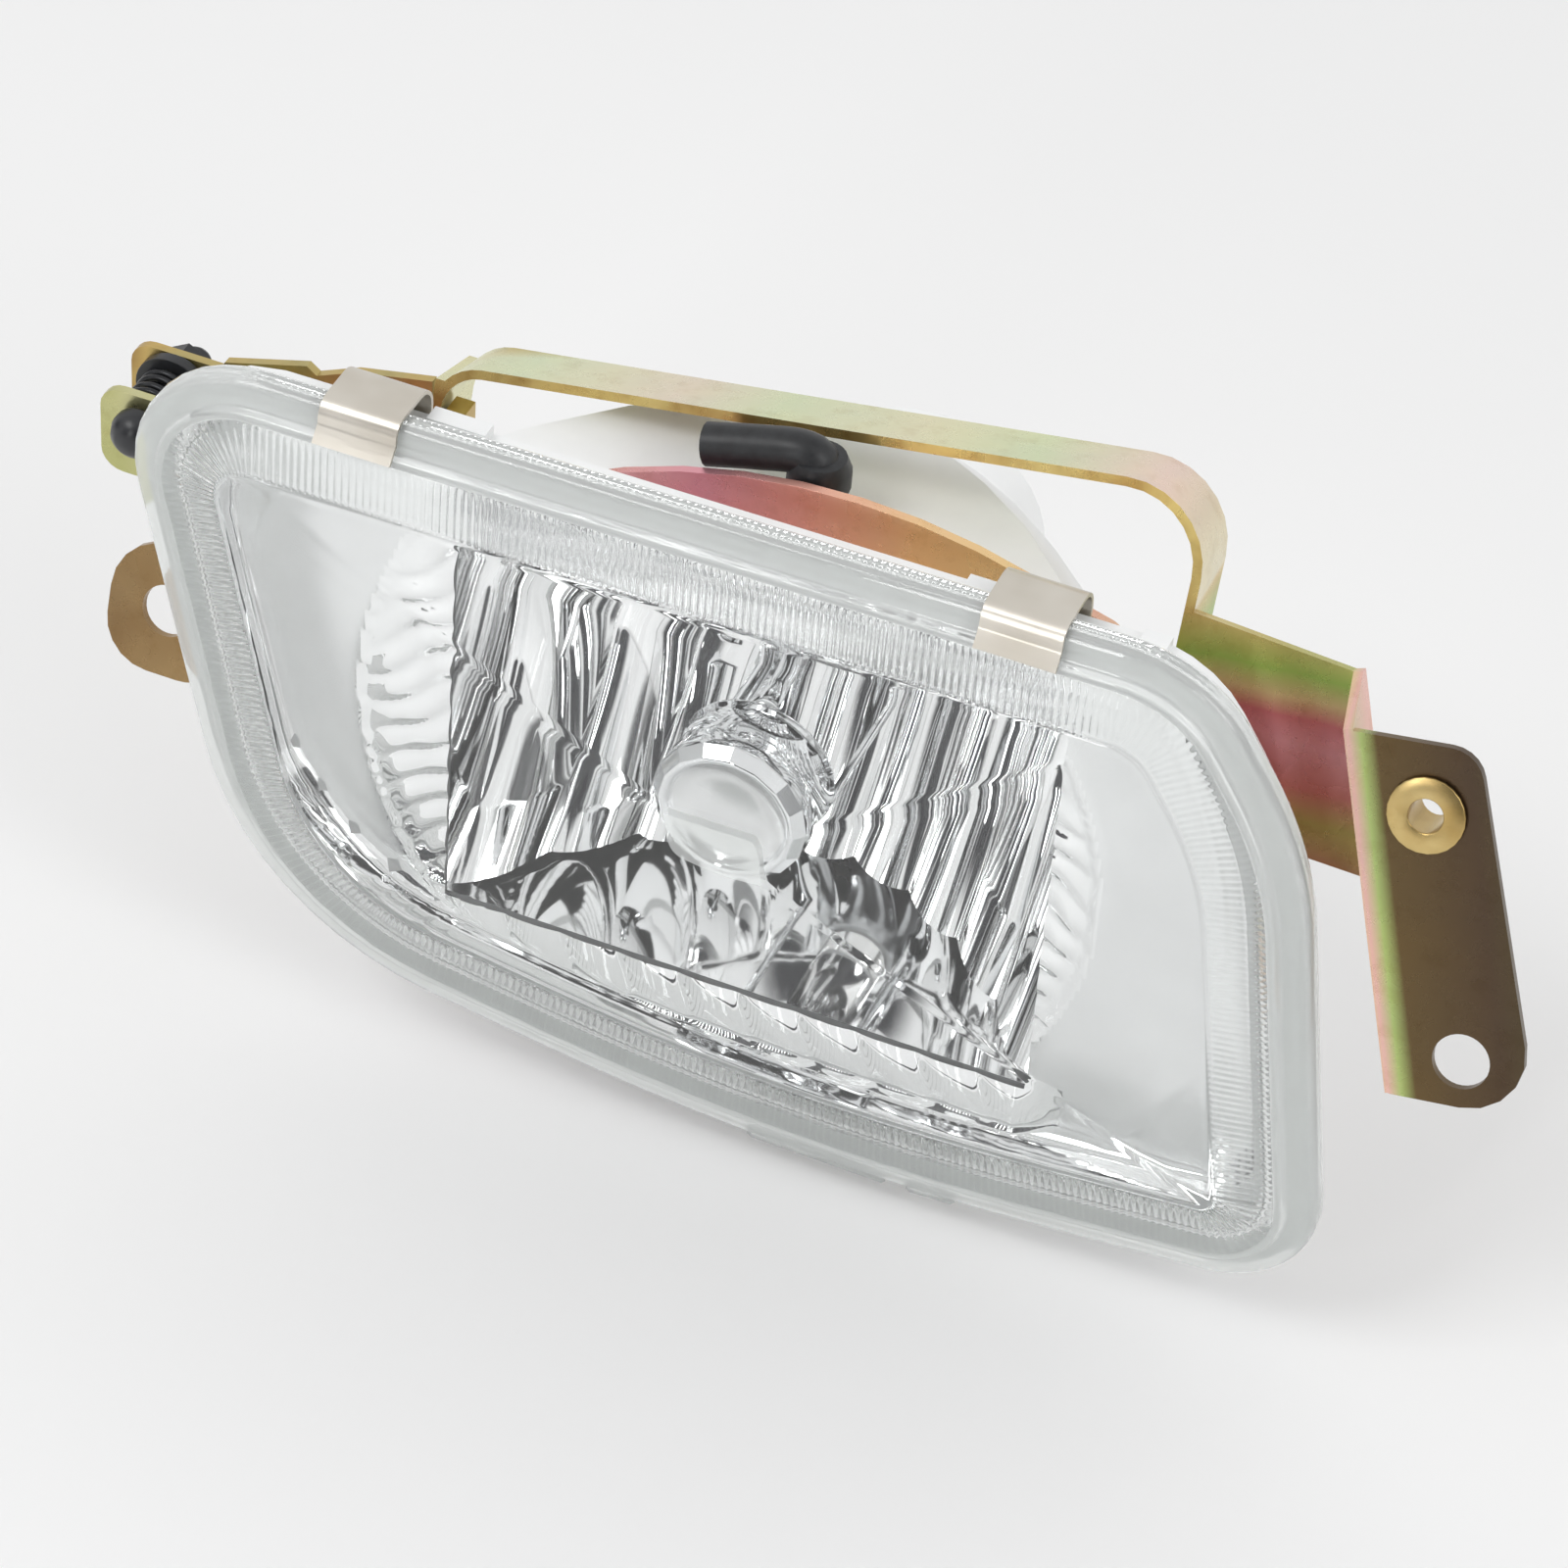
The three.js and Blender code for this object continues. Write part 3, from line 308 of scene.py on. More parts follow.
def plain(name, colour, metallic, rough, speck=0.05, scale=400, bump=0.08):
    """One colour that varies by its speck, with a fine grain in its height and its gloss."""
    m = Nodes(name)
    light = tuple(min(1, c * (1 + speck)) for c in colour)
    deep = tuple(c * (1 - speck) for c in colour)
    col = m.ramp(m.noise(scale, 4.0), [(0.35, deep), (0.65, light)])
    m.bump(m.noise(scale * 3, 3.0), bump, 0.00005)
    gloss = m.grey(m.noise(scale * 0.6, 3.0), rough * 0.85, rough * 1.15)
    return m.set(Base_Color=col, Metallic=metallic, Roughness=gloss)


def glass(name, colour, rough=0.0, clear=1.0):
    """Pressed glass. Below 1, clear leaves some milky body, as thick and fluted glass has."""
    m = Nodes(name)
    col = m.ramp(m.noise(25, 2.0), [(0.3, colour), (0.7, tuple(min(1, c * 1.01) for c in colour))])
    return m.set(Base_Color=col, Transmission_Weight=clear, IOR=1.5, Roughness=rough)


MAT["lens"] = glass("lens_glass", (0.985, 0.995, 0.990))
MAT["lens_fluted"] = glass("lens_glass_fluted", (0.965, 0.985, 0.975), 0.04, 0.80)
MAT["lens_edge"] = glass("lens_glass_edge", (0.962, 0.985, 0.972), 0.02, 0.60)
MAT["bulb"] = glass("bulb_glass", (0.97, 0.97, 0.96))
MAT["mirror"] = plain("vacuum_metal", (0.965, 0.968, 0.97), 1.0, 0.035, speck=0.01, scale=60, bump=0.015)
MAT["satin_metal"] = plain("satin_metal", (0.95, 0.955, 0.957), 1.0, 0.26, speck=0.02, scale=50, bump=0.04)
MAT["chrome"] = plain("chrome", (0.90, 0.91, 0.92), 1.0, 0.06, speck=0.01, scale=80, bump=0.02)
MAT["white"] = plain("white_moulding", (0.90, 0.91, 0.91), 0.0, 0.38, speck=0.015, scale=150, bump=0.05)
MAT["black"] = plain("black_moulding", (0.022, 0.023, 0.026), 0.0, 0.34, speck=0.2, scale=300)
MAT["rubber"] = plain("black_rubber", (0.016, 0.017, 0.019), 0.0, 0.42, speck=0.3, scale=500, bump=0.25)
MAT["spring"] = plain("black_spring_steel", (0.03, 0.031, 0.034), 0.6, 0.28, speck=0.3, scale=600)
MAT["seal"] = plain("seal_rubber", (0.80, 0.82, 0.81), 0.0, 0.6, speck=0.2, scale=400)
MAT["steel"] = plain("bright_steel", (0.62, 0.63, 0.64), 1.0, 0.30, scale=500)


def nickel():
    m = Nodes("satin_nickel")
    grain = m.noise(1500, 4.0, 0.6, stretch=(0.06, 1.0, 1.0))
    col = m.ramp(m.noise(90, 2.0), [(0.3, (0.62, 0.575, 0.50)), (0.7, (0.74, 0.70, 0.63))])
    m.bump(grain, 0.10, 0.00004)
    return m.set(Base_Color=col, Metallic=1.0, Roughness=m.grey(grain, 0.24, 0.38))


MAT["nickel"] = nickel()

# each CAD node's finish
CAD_LOOK = {
    "lens": "lens",
    "lens_seal": "seal",
    "lens_clip_left": "nickel",
    "lens_clip_right": "nickel",
    "reflector_housing": "white",
    "bulb_base": "steel",
    "bulb_glass": "bulb",
    "bulb_retainer": "nickel",
    "bulb_shield": "chrome",
    "rear_cap": "white",
    "rear_cap_seal": "rubber",
    "cable_grommet": "rubber",
    "vent_elbow": "rubber",
    "lamp_carrier": "carrier",
    "carrier_screw_1": "steel",
    "carrier_screw_2": "steel",
    "carrier_screw_3": "steel",
    "carrier_screw_4": "steel",
    "pivot_bush_left": "white",
    "pivot_bush_right": "white",
    "mounting_bracket": "strap",
    "pivot_pin_left": "steel",
    "pivot_pin_right": "steel",
    "clinch_nut": "nut",
    "adjuster_arm": "arm",
    "arm_weld": "arm",
    "adjuster_washer": "black",
    "adjuster_nut": "black",
    "adjuster_spring": "black",
    "adjuster_screw": "black",
}
EDGE_BEVEL, EDGE_ANGLE = 0.00018, 34   # metres, and the angle in degrees above which an edge is softened


def dress(node):
    """A CAD node keeps its shape and gets soft edges and its finish."""
    o = N[node]
    me = o.data
    if "custom_normal" in me.attributes:
        me.attributes.remove(me.attributes["custom_normal"])
    me.polygons.foreach_set("use_smooth", [True] * len(me.polygons))
    me.materials.clear()
    me.materials.append(MAT[CAD_LOOK[node]])
    weld = o.modifiers.new("weld", "WELD")
    weld.merge_threshold = 2e-6
    b = o.modifiers.new("edges", "BEVEL")
    b.width = EDGE_BEVEL
    b.segments = 2
    b.limit_method = "ANGLE"
    b.angle_limit = math.radians(EDGE_ANGLE)
    b.harden_normals = True
    b.use_clamp_overlap = True


for name in N:
    dress(name)


# ------------------------------------------------------------------ mesh building
# the lens outline's corners [x, z, radius], clockwise from the top left
LENS_CORNERS = [
    (-99.5, 52.2, 20), (66.5, 53.6, 22), (84, 26.5, 62), (95.5, -53.6, 17), (11.5, -62, 320), (-77, -48, 46),
]
ARC_STEPS = 10


def outline(inset):
    """The lens outline moved inwards, as points [x, z], clockwise from the top left."""
    n = len(LENS_CORNERS)
    moved = []
    for i, (x, y, r) in enumerate(LENS_CORNERS):
        p = Vector(LENS_CORNERS[i - 1][:2])
        q = Vector(LENS_CORNERS[(i + 1) % n][:2])
        h = Vector((x, y))
        u, v = (h - p).normalized(), (q - h).normalized()
        nu, nv = Vector((u.y, -u.x)), Vector((v.y, -v.x))
        s = inset / (1 + nu.dot(nv))
        moved.append((h + (nu + nv) * s, max(r - inset, 0.8)))
    pts = []
    for i, (h, r) in enumerate(moved):
        u = (moved[i - 1][0] - h).normalized()
        v = (moved[(i + 1) % n][0] - h).normalized()
        half = math.acos(max(-1, min(1, u.dot(v)))) / 2
        c = h + (u + v).normalized() * (r / math.sin(half))
        reach = r / math.tan(half)
        a0 = h + u * reach - c
        a1 = h + v * reach - c
        t0 = math.atan2(a0.y, a0.x)
        turn = (math.atan2(a1.y, a1.x) - t0 + math.pi) % (2 * math.pi) - math.pi
        angles = [t0 + turn * k / ARC_STEPS for k in range(ARC_STEPS + 1)]
        pts += [c + r * Vector((math.cos(t), math.sin(t))) for t in angles]
    return pts


def resample(base, others, step):
    """Points at an even step along base, and the matching points of the other rings."""
    n = len(base)
    spans = [(base[(i + 1) % n] - base[i]).length for i in range(n)]
    total = sum(spans)
    count = int(round(total / step))
    out = [[] for _ in others]
    i, acc = 0, 0.0
    where = []
    for k in range(count):
        want = total * k / count
        while acc + spans[i] < want:
            acc += spans[i]
            i += 1
        t = (want - acc) / max(spans[i], 1e-9)
        where.append(want)
        for ring, pts in zip(out, others):
            ring.append(pts[i].lerp(pts[(i + 1) % n], t))
    return out, np.array(where), total


def make(name, verts, faces, mat, body, replaces=(), closed=False):
    """A smooth mesh with its material and body, hiding the CAD nodes it stands for."""
    me = bpy.data.meshes.new(name)
    me.from_pydata([tuple(v) for v in verts], [], faces)
    if closed:
        bm = bmesh.new()
        bm.from_mesh(me)
        bmesh.ops.recalc_face_normals(bm, faces=bm.faces)
        bm.to_mesh(me)
        bm.free()
    me.update()
    o = bpy.data.objects.new(name, me)
    bpy.context.scene.collection.objects.link(o)
    me.materials.append(MAT[mat])
    me.polygons.foreach_set("use_smooth", [True] * len(me.polygons))
    if body:
        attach(o, body)
    if replaces:
        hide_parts(*replaces)
    return o


def grid_faces(rows, cols, flip=False):
    """Quads between rings of points, each ring closed on itself."""
    out = []
    for i in range(rows - 1):
        for j in range(cols):
            a, b = i * cols + j, i * cols + (j + 1) % cols
            f = (a, b, b + cols, a + cols)
            out.append(f[::-1] if flip else f)
    return out


# ------------------------------------------------------------------ lens
FLUTE, FLUTE_DEPTH = 1.12, 0.2
DOME = 2.6                 # how far the middle of the lens stands in front of its window's edge
WINDOW_INSET = 16.0
WINDOW_FRONT, WINDOW_BACK = -3.55, -0.9
WINDOW_RINGS = [0.93, 0.86, 0.76, 0.64, 0.5, 0.36, 0.22, 0.1]   # as shares of the window
WINDOW_MIDDLE = (0.3, -1.5)

# the section of the lens's rim, as [inset, y]: outer edge, fluted band, step down to the window, and the back
RIM_EDGE = [
    (0.0, 2.6), (0.0, 0.9), (0.15, 0.2), (0.5, -0.35), (1.1, -0.75), (2.4, -0.95), (3.9, -1.1),
    (4.3, -1.35), (4.45, -2.1), (4.7, -2.45), (5.1, -2.5), (5.5, -2.3), (5.8, -2.4),
]
RIM_FLUTED = [(w, -2.55 - 0.05 * (w - 6)) for w in (6.2, 7.4, 8.8, 10.4, 12.0, 13.4, 14.1)]
RIM_STEP = [(14.5, -2.9), (14.75, -3.3), (15.1, -3.45), (15.5, -3.4), (WINDOW_INSET, WINDOW_FRONT)]
RIM_BACK = [
    (WINDOW_INSET, WINDOW_BACK), (14.2, -0.75), (9.0, 0.0), (7.9, 0.5), (7.3, 1.6), (6.9, 3.1),
    (6.6, 3.2), (0.5, 3.2), (0.12, 3.0),
]

LENS_BLOCKS = [(6.0, 28.0), (31.5, 39.0)]       # from and to along X
BLOCK_FRONT, BLOCK_BACK = 0.4, 3.0
BLOCK_DROP, BLOCK_INTO = 1.9, 0.9               # below the lens edge, and up into it
BLOCK_NIP, BLOCK_CHAMFER = 0.5, 0.4


def build_lens():
    """The glass as one closed skin of rings: down the front to the middle, and back out behind it."""
    def domed(share, y):
        return [p * share for p in outline(WINDOW_INSET)], y - DOME * (1 - share * share)

    front = RIM_EDGE + RIM_FLUTED + RIM_STEP
    rings = [(outline(inset), y) for inset, y in front]
    rings += [domed(share, WINDOW_FRONT) for share in WINDOW_RINGS]
    rings += [domed(share, WINDOW_BACK) for share in reversed(WINDOW_RINGS)]
    rings += [(outline(inset), y) for inset, y in RIM_BACK]
    edge_end = len(RIM_EDGE)
    fluted_end = edge_end + len(RIM_FLUTED)

    sampled, where, total = resample(outline(10.0), [r for r, _ in rings], FLUTE / 4)
    phase = where / total * round(total / FLUTE)
    wave = 1 - 2 * (np.abs(phase % 1.0 - 0.5) * 2) ** 2
    verts = []
    for i, ((_, y), pts) in enumerate(zip(rings, sampled)):
        depth = FLUTE_DEPTH if edge_end <= i < fluted_end else 0.0
        for k, p in enumerate(pts):
            verts.append(P(p.x, y - depth * wave[k], p.y))

    cols = len(sampled[0])
    middle = len(front) + len(WINDOW_RINGS) - 1
    faces = [f for f in grid_faces(len(rings), cols) if f[0] // cols != middle]
    last = (len(rings) - 1) * cols
    faces += [(last + j, last + (j + 1) % cols, (j + 1) % cols, j) for j in range(cols)]
    for ring, y, flip in ((middle, WINDOW_FRONT, False), (middle + 1, WINDOW_BACK, True)):
        c = len(verts)
        verts.append(P(WINDOW_MIDDLE[0], y - DOME, WINDOW_MIDDLE[1]))
        for j in range(cols):
            f = (ring * cols + j, ring * cols + (j + 1) % cols, c)
            faces.append(f[::-1] if flip else f)

    o = make("lens_glass", verts, faces, "lens", "lamp", replaces=["lens"], closed=True)
    o.data.materials.append(MAT["lens_edge"])
    o.data.materials.append(MAT["lens_fluted"])
    for f in o.data.polygons:
        ring = max(f.vertices) // cols
        if ring < fluted_end or ring > len(rings) - 3:
            f.material_index = 2 if edge_end <= ring < fluted_end else 1


build_lens()


def build_lens_blocks():
    """The two low blocks moulded under the lens, along its lower edge."""
    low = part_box("lens")[0][2] * MM + ORIGIN[2]
    under = sorted((p.x, p.y) for p in outline(0.3) if p.y < -20)
    xs, zs = [x for x, _ in under], [z for _, z in under]
    verts, faces = [], []
    for x0, x1 in LENS_BLOCKS:
        base = len(verts)
        stations = [(x0, BLOCK_NIP), (x0 + BLOCK_NIP, 0.0), (x1 - BLOCK_NIP, 0.0), (x1, BLOCK_NIP)]
        for x, nip in stations:
            edge = float(np.interp(x, xs, zs))
            foot = max(low, edge - BLOCK_DROP) + nip
            section = [
                (BLOCK_FRONT, edge + BLOCK_INTO), (BLOCK_FRONT, foot + BLOCK_CHAMFER),
                (BLOCK_FRONT + BLOCK_CHAMFER, foot), (BLOCK_BACK - BLOCK_CHAMFER, foot),
                (BLOCK_BACK, foot + BLOCK_CHAMFER), (BLOCK_BACK, edge + BLOCK_INTO),
            ]
            verts += [P(x, y, z) for y, z in section]
        sides = len(section)
        faces += [[i + base for i in f] for f in grid_faces(len(stations), sides)]
        last = base + (len(stations) - 1) * sides
        faces += [[start + k for k in range(sides)] for start in (base, last)]
    make("lens_blocks", verts, faces, "lens_edge", "lamp", closed=True)


build_lens_blocks()

# ------------------------------------------------------------------ reflector skin
AXIS_X = -1.1                 # the bulb's axis
FOCUS, VERTEX = 16.5, 69.0    # the bowl is a paraboloid
SIDE, SHELF = 46.55, 39.75    # half the bowl's width and height
BOWL_MOUTH = 10.1
BOWL_CLEAR = 0.3              # the bowl's skin stands this far in front of the housing
STEEP_EDGE = -36.5            # left of this the bowl is cut into slanted rows
RISE = 0.7                    # slope of the slanted rows


def bowl_y(x, z):
    return VERTEX - (x * x + z * z) / (4 * FOCUS)


def pillow(u):
    """Rounded rib, 0 at its edges and 1 in the middle."""
    t = (u % 1.0) * 2 - 1
    return 1 - t * t


# ribs of the bowl's upper part: [left edge, right edge, height, row length, row height]
HIGH_RIBS = [
    (STEEP_EDGE, -30.5, 0.9, 40, 0.0), (-30.5, -21.0, 1.0, 80, 0.0), (-21.0, -3.0, 0.05, 80, 0.0),
    (-3.0, 14.0, 0.05, 80, 0.0), (14.0, 19.0, 0.6, 13, 0.3), (19.0, 24.5, 0.7, 14, 0.4),
    (24.5, 30.0, 0.7, 16, 0.4), (30.0, 35.5, 0.7, 18, 0.4), (35.5, 41.0, 0.7, 14, 0.4),
    (41.0, 46.6, 0.7, 12, 0.4),
]
LOW_COUNT, LOW_HALF = 9, 46.6
LOW_STEP = 2 * LOW_HALF / LOW_COUNT
LOW_RIBS = [
    (-LOW_HALF + i * LOW_STEP, -LOW_HALF + (i + 1) * LOW_STEP, 1.15, 52, 0.9) for i in range(LOW_COUNT)
]


def rising_rows(x, z):
    """Slanted rows that climb towards the bulb on either side."""
    along, across = z + RISE * abs(x), z - 1.3 * abs(x)
    wander = 0.7 * math.sin(across / 4.3)
    return 0.95 * pillow((along + wander) / 5.6) * (0.8 + 0.2 * math.sin(across / 3.1))


def ribs_at(x, z, table):
    """The height of the vertical rib at x, with its rows, or 0 where the table has none."""
    for a, b, high, row, rise in table:
        if a <= x <= b:
            bulge = pillow((x - a) / (b - a))
            h = high * bulge
            if rise:
                h += rise * pillow(z / row + 0.37 * round(a)) * bulge ** 0.5
            return h
    return 0.0


def facet(x, z):
    """How far the reflector's ribs stand in front of the plain bowl."""
    seam = 5.0 - 0.10 * x
    share = min(1.0, max(0.0, (z - seam) / 2.0 + 0.5))
    upper = rising_rows(x, z) if x < STEEP_EDGE else ribs_at(x, z, HIGH_RIBS)
    lower = ribs_at(x, z, LOW_RIBS)
    outward = 1.0 + math.hypot(x, z) / 60
    return (share * upper + (1 - share) * lower) * outward


def add_sheet(fn, us, vs, verts, faces, flip=False):
    """A grid of points fn(u, v), added to a mesh that is being made."""
    start = len(verts)
    for u in us:
        for v in vs:
            verts.append(P(*fn(u, v)))
    cols = len(vs)
    for i in range(len(us) - 1):
        for j in range(cols - 1):
            a = start + i * cols + j
            f = (a, a + 1, a + cols + 1, a + cols)
            faces.append(f[::-1] if flip else f)


def build_bowl():
    """The ribbed bowl and the four flat walls that square it off."""
    verts, faces = [], []

    def floor(x, z):
        return AXIS_X + x, bowl_y(x, z) - BOWL_CLEAR - facet(x, z), z

    add_sheet(floor, np.linspace(-SIDE, SIDE, 225), np.linspace(-SHELF, SHELF, 161), verts, faces)
    for s in (-1, 1):
        def shelf(x, t, s=s):
            return AXIS_X + x, BOWL_MOUTH + (bowl_y(x, SHELF) - BOWL_MOUTH) * t, s * SHELF

        def side(z, t, s=s):
            return AXIS_X + s * SIDE, BOWL_MOUTH + (bowl_y(SIDE, z) - BOWL_MOUTH) * t, z

        add_sheet(shelf, np.linspace(-SIDE, SIDE, 121), np.linspace(0, 1, 40), verts, faces, flip=s > 0)
        add_sheet(side, np.linspace(-SHELF, SHELF, 81), np.linspace(0, 1, 30), verts, faces, flip=s < 0)
    make("reflector_bowl", verts, faces, "mirror", "lamp")


build_bowl()

WING_GRID = 0.7                          # spacing of the wings' points
WING_LEFT, WING_BOTTOM = -98, -60        # where their grid starts
WING_WIDTH, WING_HEIGHT = 190, 116
WING_EDGE_INSET = 9.8                    # past the rim wall, which covers the grid's stepped edge
ROUND_LEFT, ROUND_RIGHT = 60.6, 53.5     # radius of the ribbed part on either side
RAMP_TOP, RAMP_HALF = -38, 52            # the sloped strip under the bowl
RAMP_LENGTH, RAMP_SLOPE, RAMP_BUMP = 8, 0.26, 0.4
WING_Y, ROWS_Y = 9.6, 9.7                # the smooth mirror and the foot of its rows
HOLLOW = 0.0012                          # how the mirror curves forward past the round edge
CREASE_AT, CREASE = 20, 0.35


def build_wings():
    """The shallow mirror round the bowl: ribbed up to a round edge, then smooth and hollow to the rim."""
    verts, faces, index, satin = [], [], {}, []
    rim = outline(WING_EDGE_INSET)

    def inside(x, z):
        hit = False
        for a, b in zip(rim, [rim[-1]] + rim[:-1]):
            if (a.y > z) != (b.y > z) and x < (b.x - a.x) * (z - a.y) / (b.y - a.y) + a.x:
                hit = not hit
        return hit

    def past_round(x, z):
        return math.hypot(x - AXIS_X, z + 3.5) - (ROUND_LEFT if x < AXIS_X else ROUND_RIGHT)

    def on_ramp(x, z):
        return z < RAMP_TOP and abs(x - AXIS_X) < RAMP_HALF

    def height(x, z):
        xc = x - AXIS_X
        d = past_round(x, z)
        if on_ramp(x, z):
            fade = min(1, (RAMP_HALF - abs(xc)) / 6)
            bumps = pillow((xc + 0.5 * z) / 9.5) * pillow((z + 47.5) / 11)
            return WING_Y - fade * (min(RAMP_LENGTH, RAMP_TOP - z) * RAMP_SLOPE + RAMP_BUMP * bumps)
        if d < 0:
            return ROWS_Y - min(1, -d / 4) * rising_rows(xc, z)
        crease = CREASE * math.exp(-abs(d - CREASE_AT))
        return WING_Y - HOLLOW * d * d - 0.5 * math.exp(-d / 0.9) - crease

    for i in range(int(WING_WIDTH / WING_GRID) + 1):
        for k in range(int(WING_HEIGHT / WING_GRID) + 1):
            x, z = WING_LEFT + i * WING_GRID, WING_BOTTOM + k * WING_GRID
            over_bowl = abs(x - AXIS_X) < SIDE - 0.2 and abs(z) < SHELF - 0.2
            if inside(x, z) and not over_bowl:
                index[i, k] = len(verts)
                verts.append(P(x, height(x, z), z))
    for (i, k), a in index.items():
        b, c, d = index.get((i + 1, k)), index.get((i + 1, k + 1)), index.get((i, k + 1))
        if None not in (b, c, d):
            faces.append((d, c, b, a))
            x, z = WING_LEFT + (i + 0.5) * WING_GRID, WING_BOTTOM + (k + 0.5) * WING_GRID
            satin.append(int(past_round(x, z) > 1 and not on_ramp(x, z)))
    o = make("reflector_wings", verts, faces, "mirror", "lamp")
    o.data.materials.append(MAT["satin_metal"])
    o.data.polygons.foreach_set("material_index", satin)


build_wings()


def build_rim_wall():
    """The step from the mirror up to the flange, bright like the rest."""
    profile = [(12.2, 9.9), (11.3, 9.8), (10.6, 7.0), (10.0, 5.2), (9.7, 4.75)]
    sampled, _, _ = resample(outline(10.0), [outline(i) for i, _ in profile], 1.2)
    verts = [P(p.x, y, p.y) for (_, y), ring in zip(profile, sampled) for p in ring]
    faces = grid_faces(len(profile), len(sampled[0]), flip=True)
    make("reflector_rim_wall", verts, faces, "mirror", "lamp")


build_rim_wall()

# the cup's section, as [radius, y]: its face, the rim's chamfer, the outer wall, and back inside
CUP_PROFILE = [
    (0.1, 3.0), (5.0, 2.9), (8.7, 3.1), (9.1, 2.2), (9.9, 1.75), (10.5, 1.9), (11.9, 3.5), (11.95, 6.2),
    (11.5, 6.7), (11.5, 13.2), (11.9, 13.5), (11.9, 13.9), (11.1, 13.9), (11.0, 6.0), (10.6, 4.6), (0.1, 4.3),
]
CUP_CHAMFER = 5               # the row of faces that is cut into flats
CUP_FACE_ROWS = 2             # the rows of the satin face
CUP_POINTS, CUP_FLATS = 64, 16
LEG_RADIUS = 11.5
# each leg's section, as [across, out], for a half width of 1
LEG_SECTION = [(-1, -0.5), (0, -0.25), (1, -0.5), (1, 0.3), (0, 0.55), (-1, 0.3)]


def build_shield():
    """The cup in front of the bulb: a faceted bright rim round a satin face, on three legs."""
    count = CUP_POINTS
    flat_turn = 2 * math.pi / CUP_FLATS
    verts, faces, flat, disc = [], [], [], []
    for radius, y in CUP_PROFILE:
        for k in range(count):
            a = 2 * math.pi * k / count
            out = radius
            if 10.2 < radius < 11.93 and y < 4:
                out = radius * math.cos(flat_turn / 2) / math.cos(a % flat_turn - flat_turn / 2)
            verts.append(P(AXIS_X + out * math.cos(a), y, out * math.sin(a)))
    for i in range(len(CUP_PROFILE) - 1):
        near, far = i * count, (i + 1) * count
        for k in range(count):
            after = (k + 1) % count
            faces.append((near + k, near + after, far + after, far + k))
            flat.append(i == CUP_CHAMFER)
            disc.append(i < CUP_FACE_ROWS)
    for ring in (0, len(CUP_PROFILE) - 1):
        faces.append([ring * count + k for k in range(count)])
        flat.append(False)
        disc.append(ring == 0)

    stations = [(12.4, 11.3, 2.4), (20, LEG_RADIUS, 1.7), (40, LEG_RADIUS, 1.5), (60, LEG_RADIUS, 1.6)]
    stations.append((VERTEX - 3.2, LEG_RADIUS, 2.6))
    sides = len(LEG_SECTION)
    for turn in (0, 120, 240):
        a = math.radians(turn)
        base = len(verts)
        for y, radius, half in stations:
            for across, out in LEG_SECTION:
                x, z = across * half, radius + out
                turned_x = x * math.cos(a) + z * math.sin(a)
                turned_z = z * math.cos(a) - x * math.sin(a)
                verts.append(P(AXIS_X + turned_x, y, turned_z))
        faces += [[base + i for i in f] for f in grid_faces(len(stations), sides)]
        walls = (len(stations) - 1) * sides
        flat += [False] * walls + [True, True]
        disc += [False] * (walls + 2)
        for i in (0, len(stations) - 1):
            faces.append([base + i * sides + k for k in range(sides)])
    o = make(
        "bulb_shield_cup", verts, faces, "chrome", "lamp",
        replaces=["bulb_shield"], closed=True,
    )
    o.data.materials.append(MAT["satin_metal"])
    o.data.polygons.foreach_set("material_index", [int(v) for v in disc])
    o.data.polygons.foreach_set("use_smooth", [not v for v in flat])


build_shield()

# ------------------------------------------------------------------ adjuster
ADJ_X, ADJ_Z = -100.0, 26.4
COIL_RADIUS, COIL_WIRE, COIL_TURNS = 4.1, 0.55, 3.5
COIL_END_ROOM = 0.6      # from the coil's first and last centres to its ends
COIL_SIDES, COIL_STEPS = 12, 200
COIL_CLOSING = 0.055     # how much closer its end turns lie


def build_spring():
    """The coil between the lamp's front ear and the washer, which the lamp's tilt draws out or presses; this
    mesh is made at one fixed length.
    """
    low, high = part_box("adjuster_spring")
    y0 = low[1] * MM + ORIGIN[1] + COIL_END_ROOM
    y1 = high[1] * MM + ORIGIN[1] - COIL_END_ROOM
    verts = []
    for i in range(COIL_STEPS + 1):
        t = i / COIL_STEPS
        a = t * COIL_TURNS * 2 * math.pi
        out = Vector((math.cos(a), 0, math.sin(a)))
        along = y0 + (y1 - y0) * (t - COIL_CLOSING * math.sin(2 * math.pi * t))
        centre = Vector((ADJ_X, along, ADJ_Z)) + out * COIL_RADIUS
        for k in range(COIL_SIDES):
            b = 2 * math.pi * k / COIL_SIDES
            verts.append(P(*(centre + (out * math.cos(b) + Vector((0, 1, 0)) * math.sin(b)) * COIL_WIRE)))
    faces = grid_faces(COIL_STEPS + 1, COIL_SIDES)
    faces += [[start * COIL_SIDES + k for k in range(COIL_SIDES)] for start in (0, COIL_STEPS)]
    o = make(
        "adjuster_spring_coil", verts, faces, "spring", None,
        replaces=["adjuster_spring"], closed=True,
    )
    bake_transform(o)


build_spring()

# ------------------------------------------------------------------ studio
FLOOR_BELOW, FLOOR_SIZE = 0.004, 6   # metres


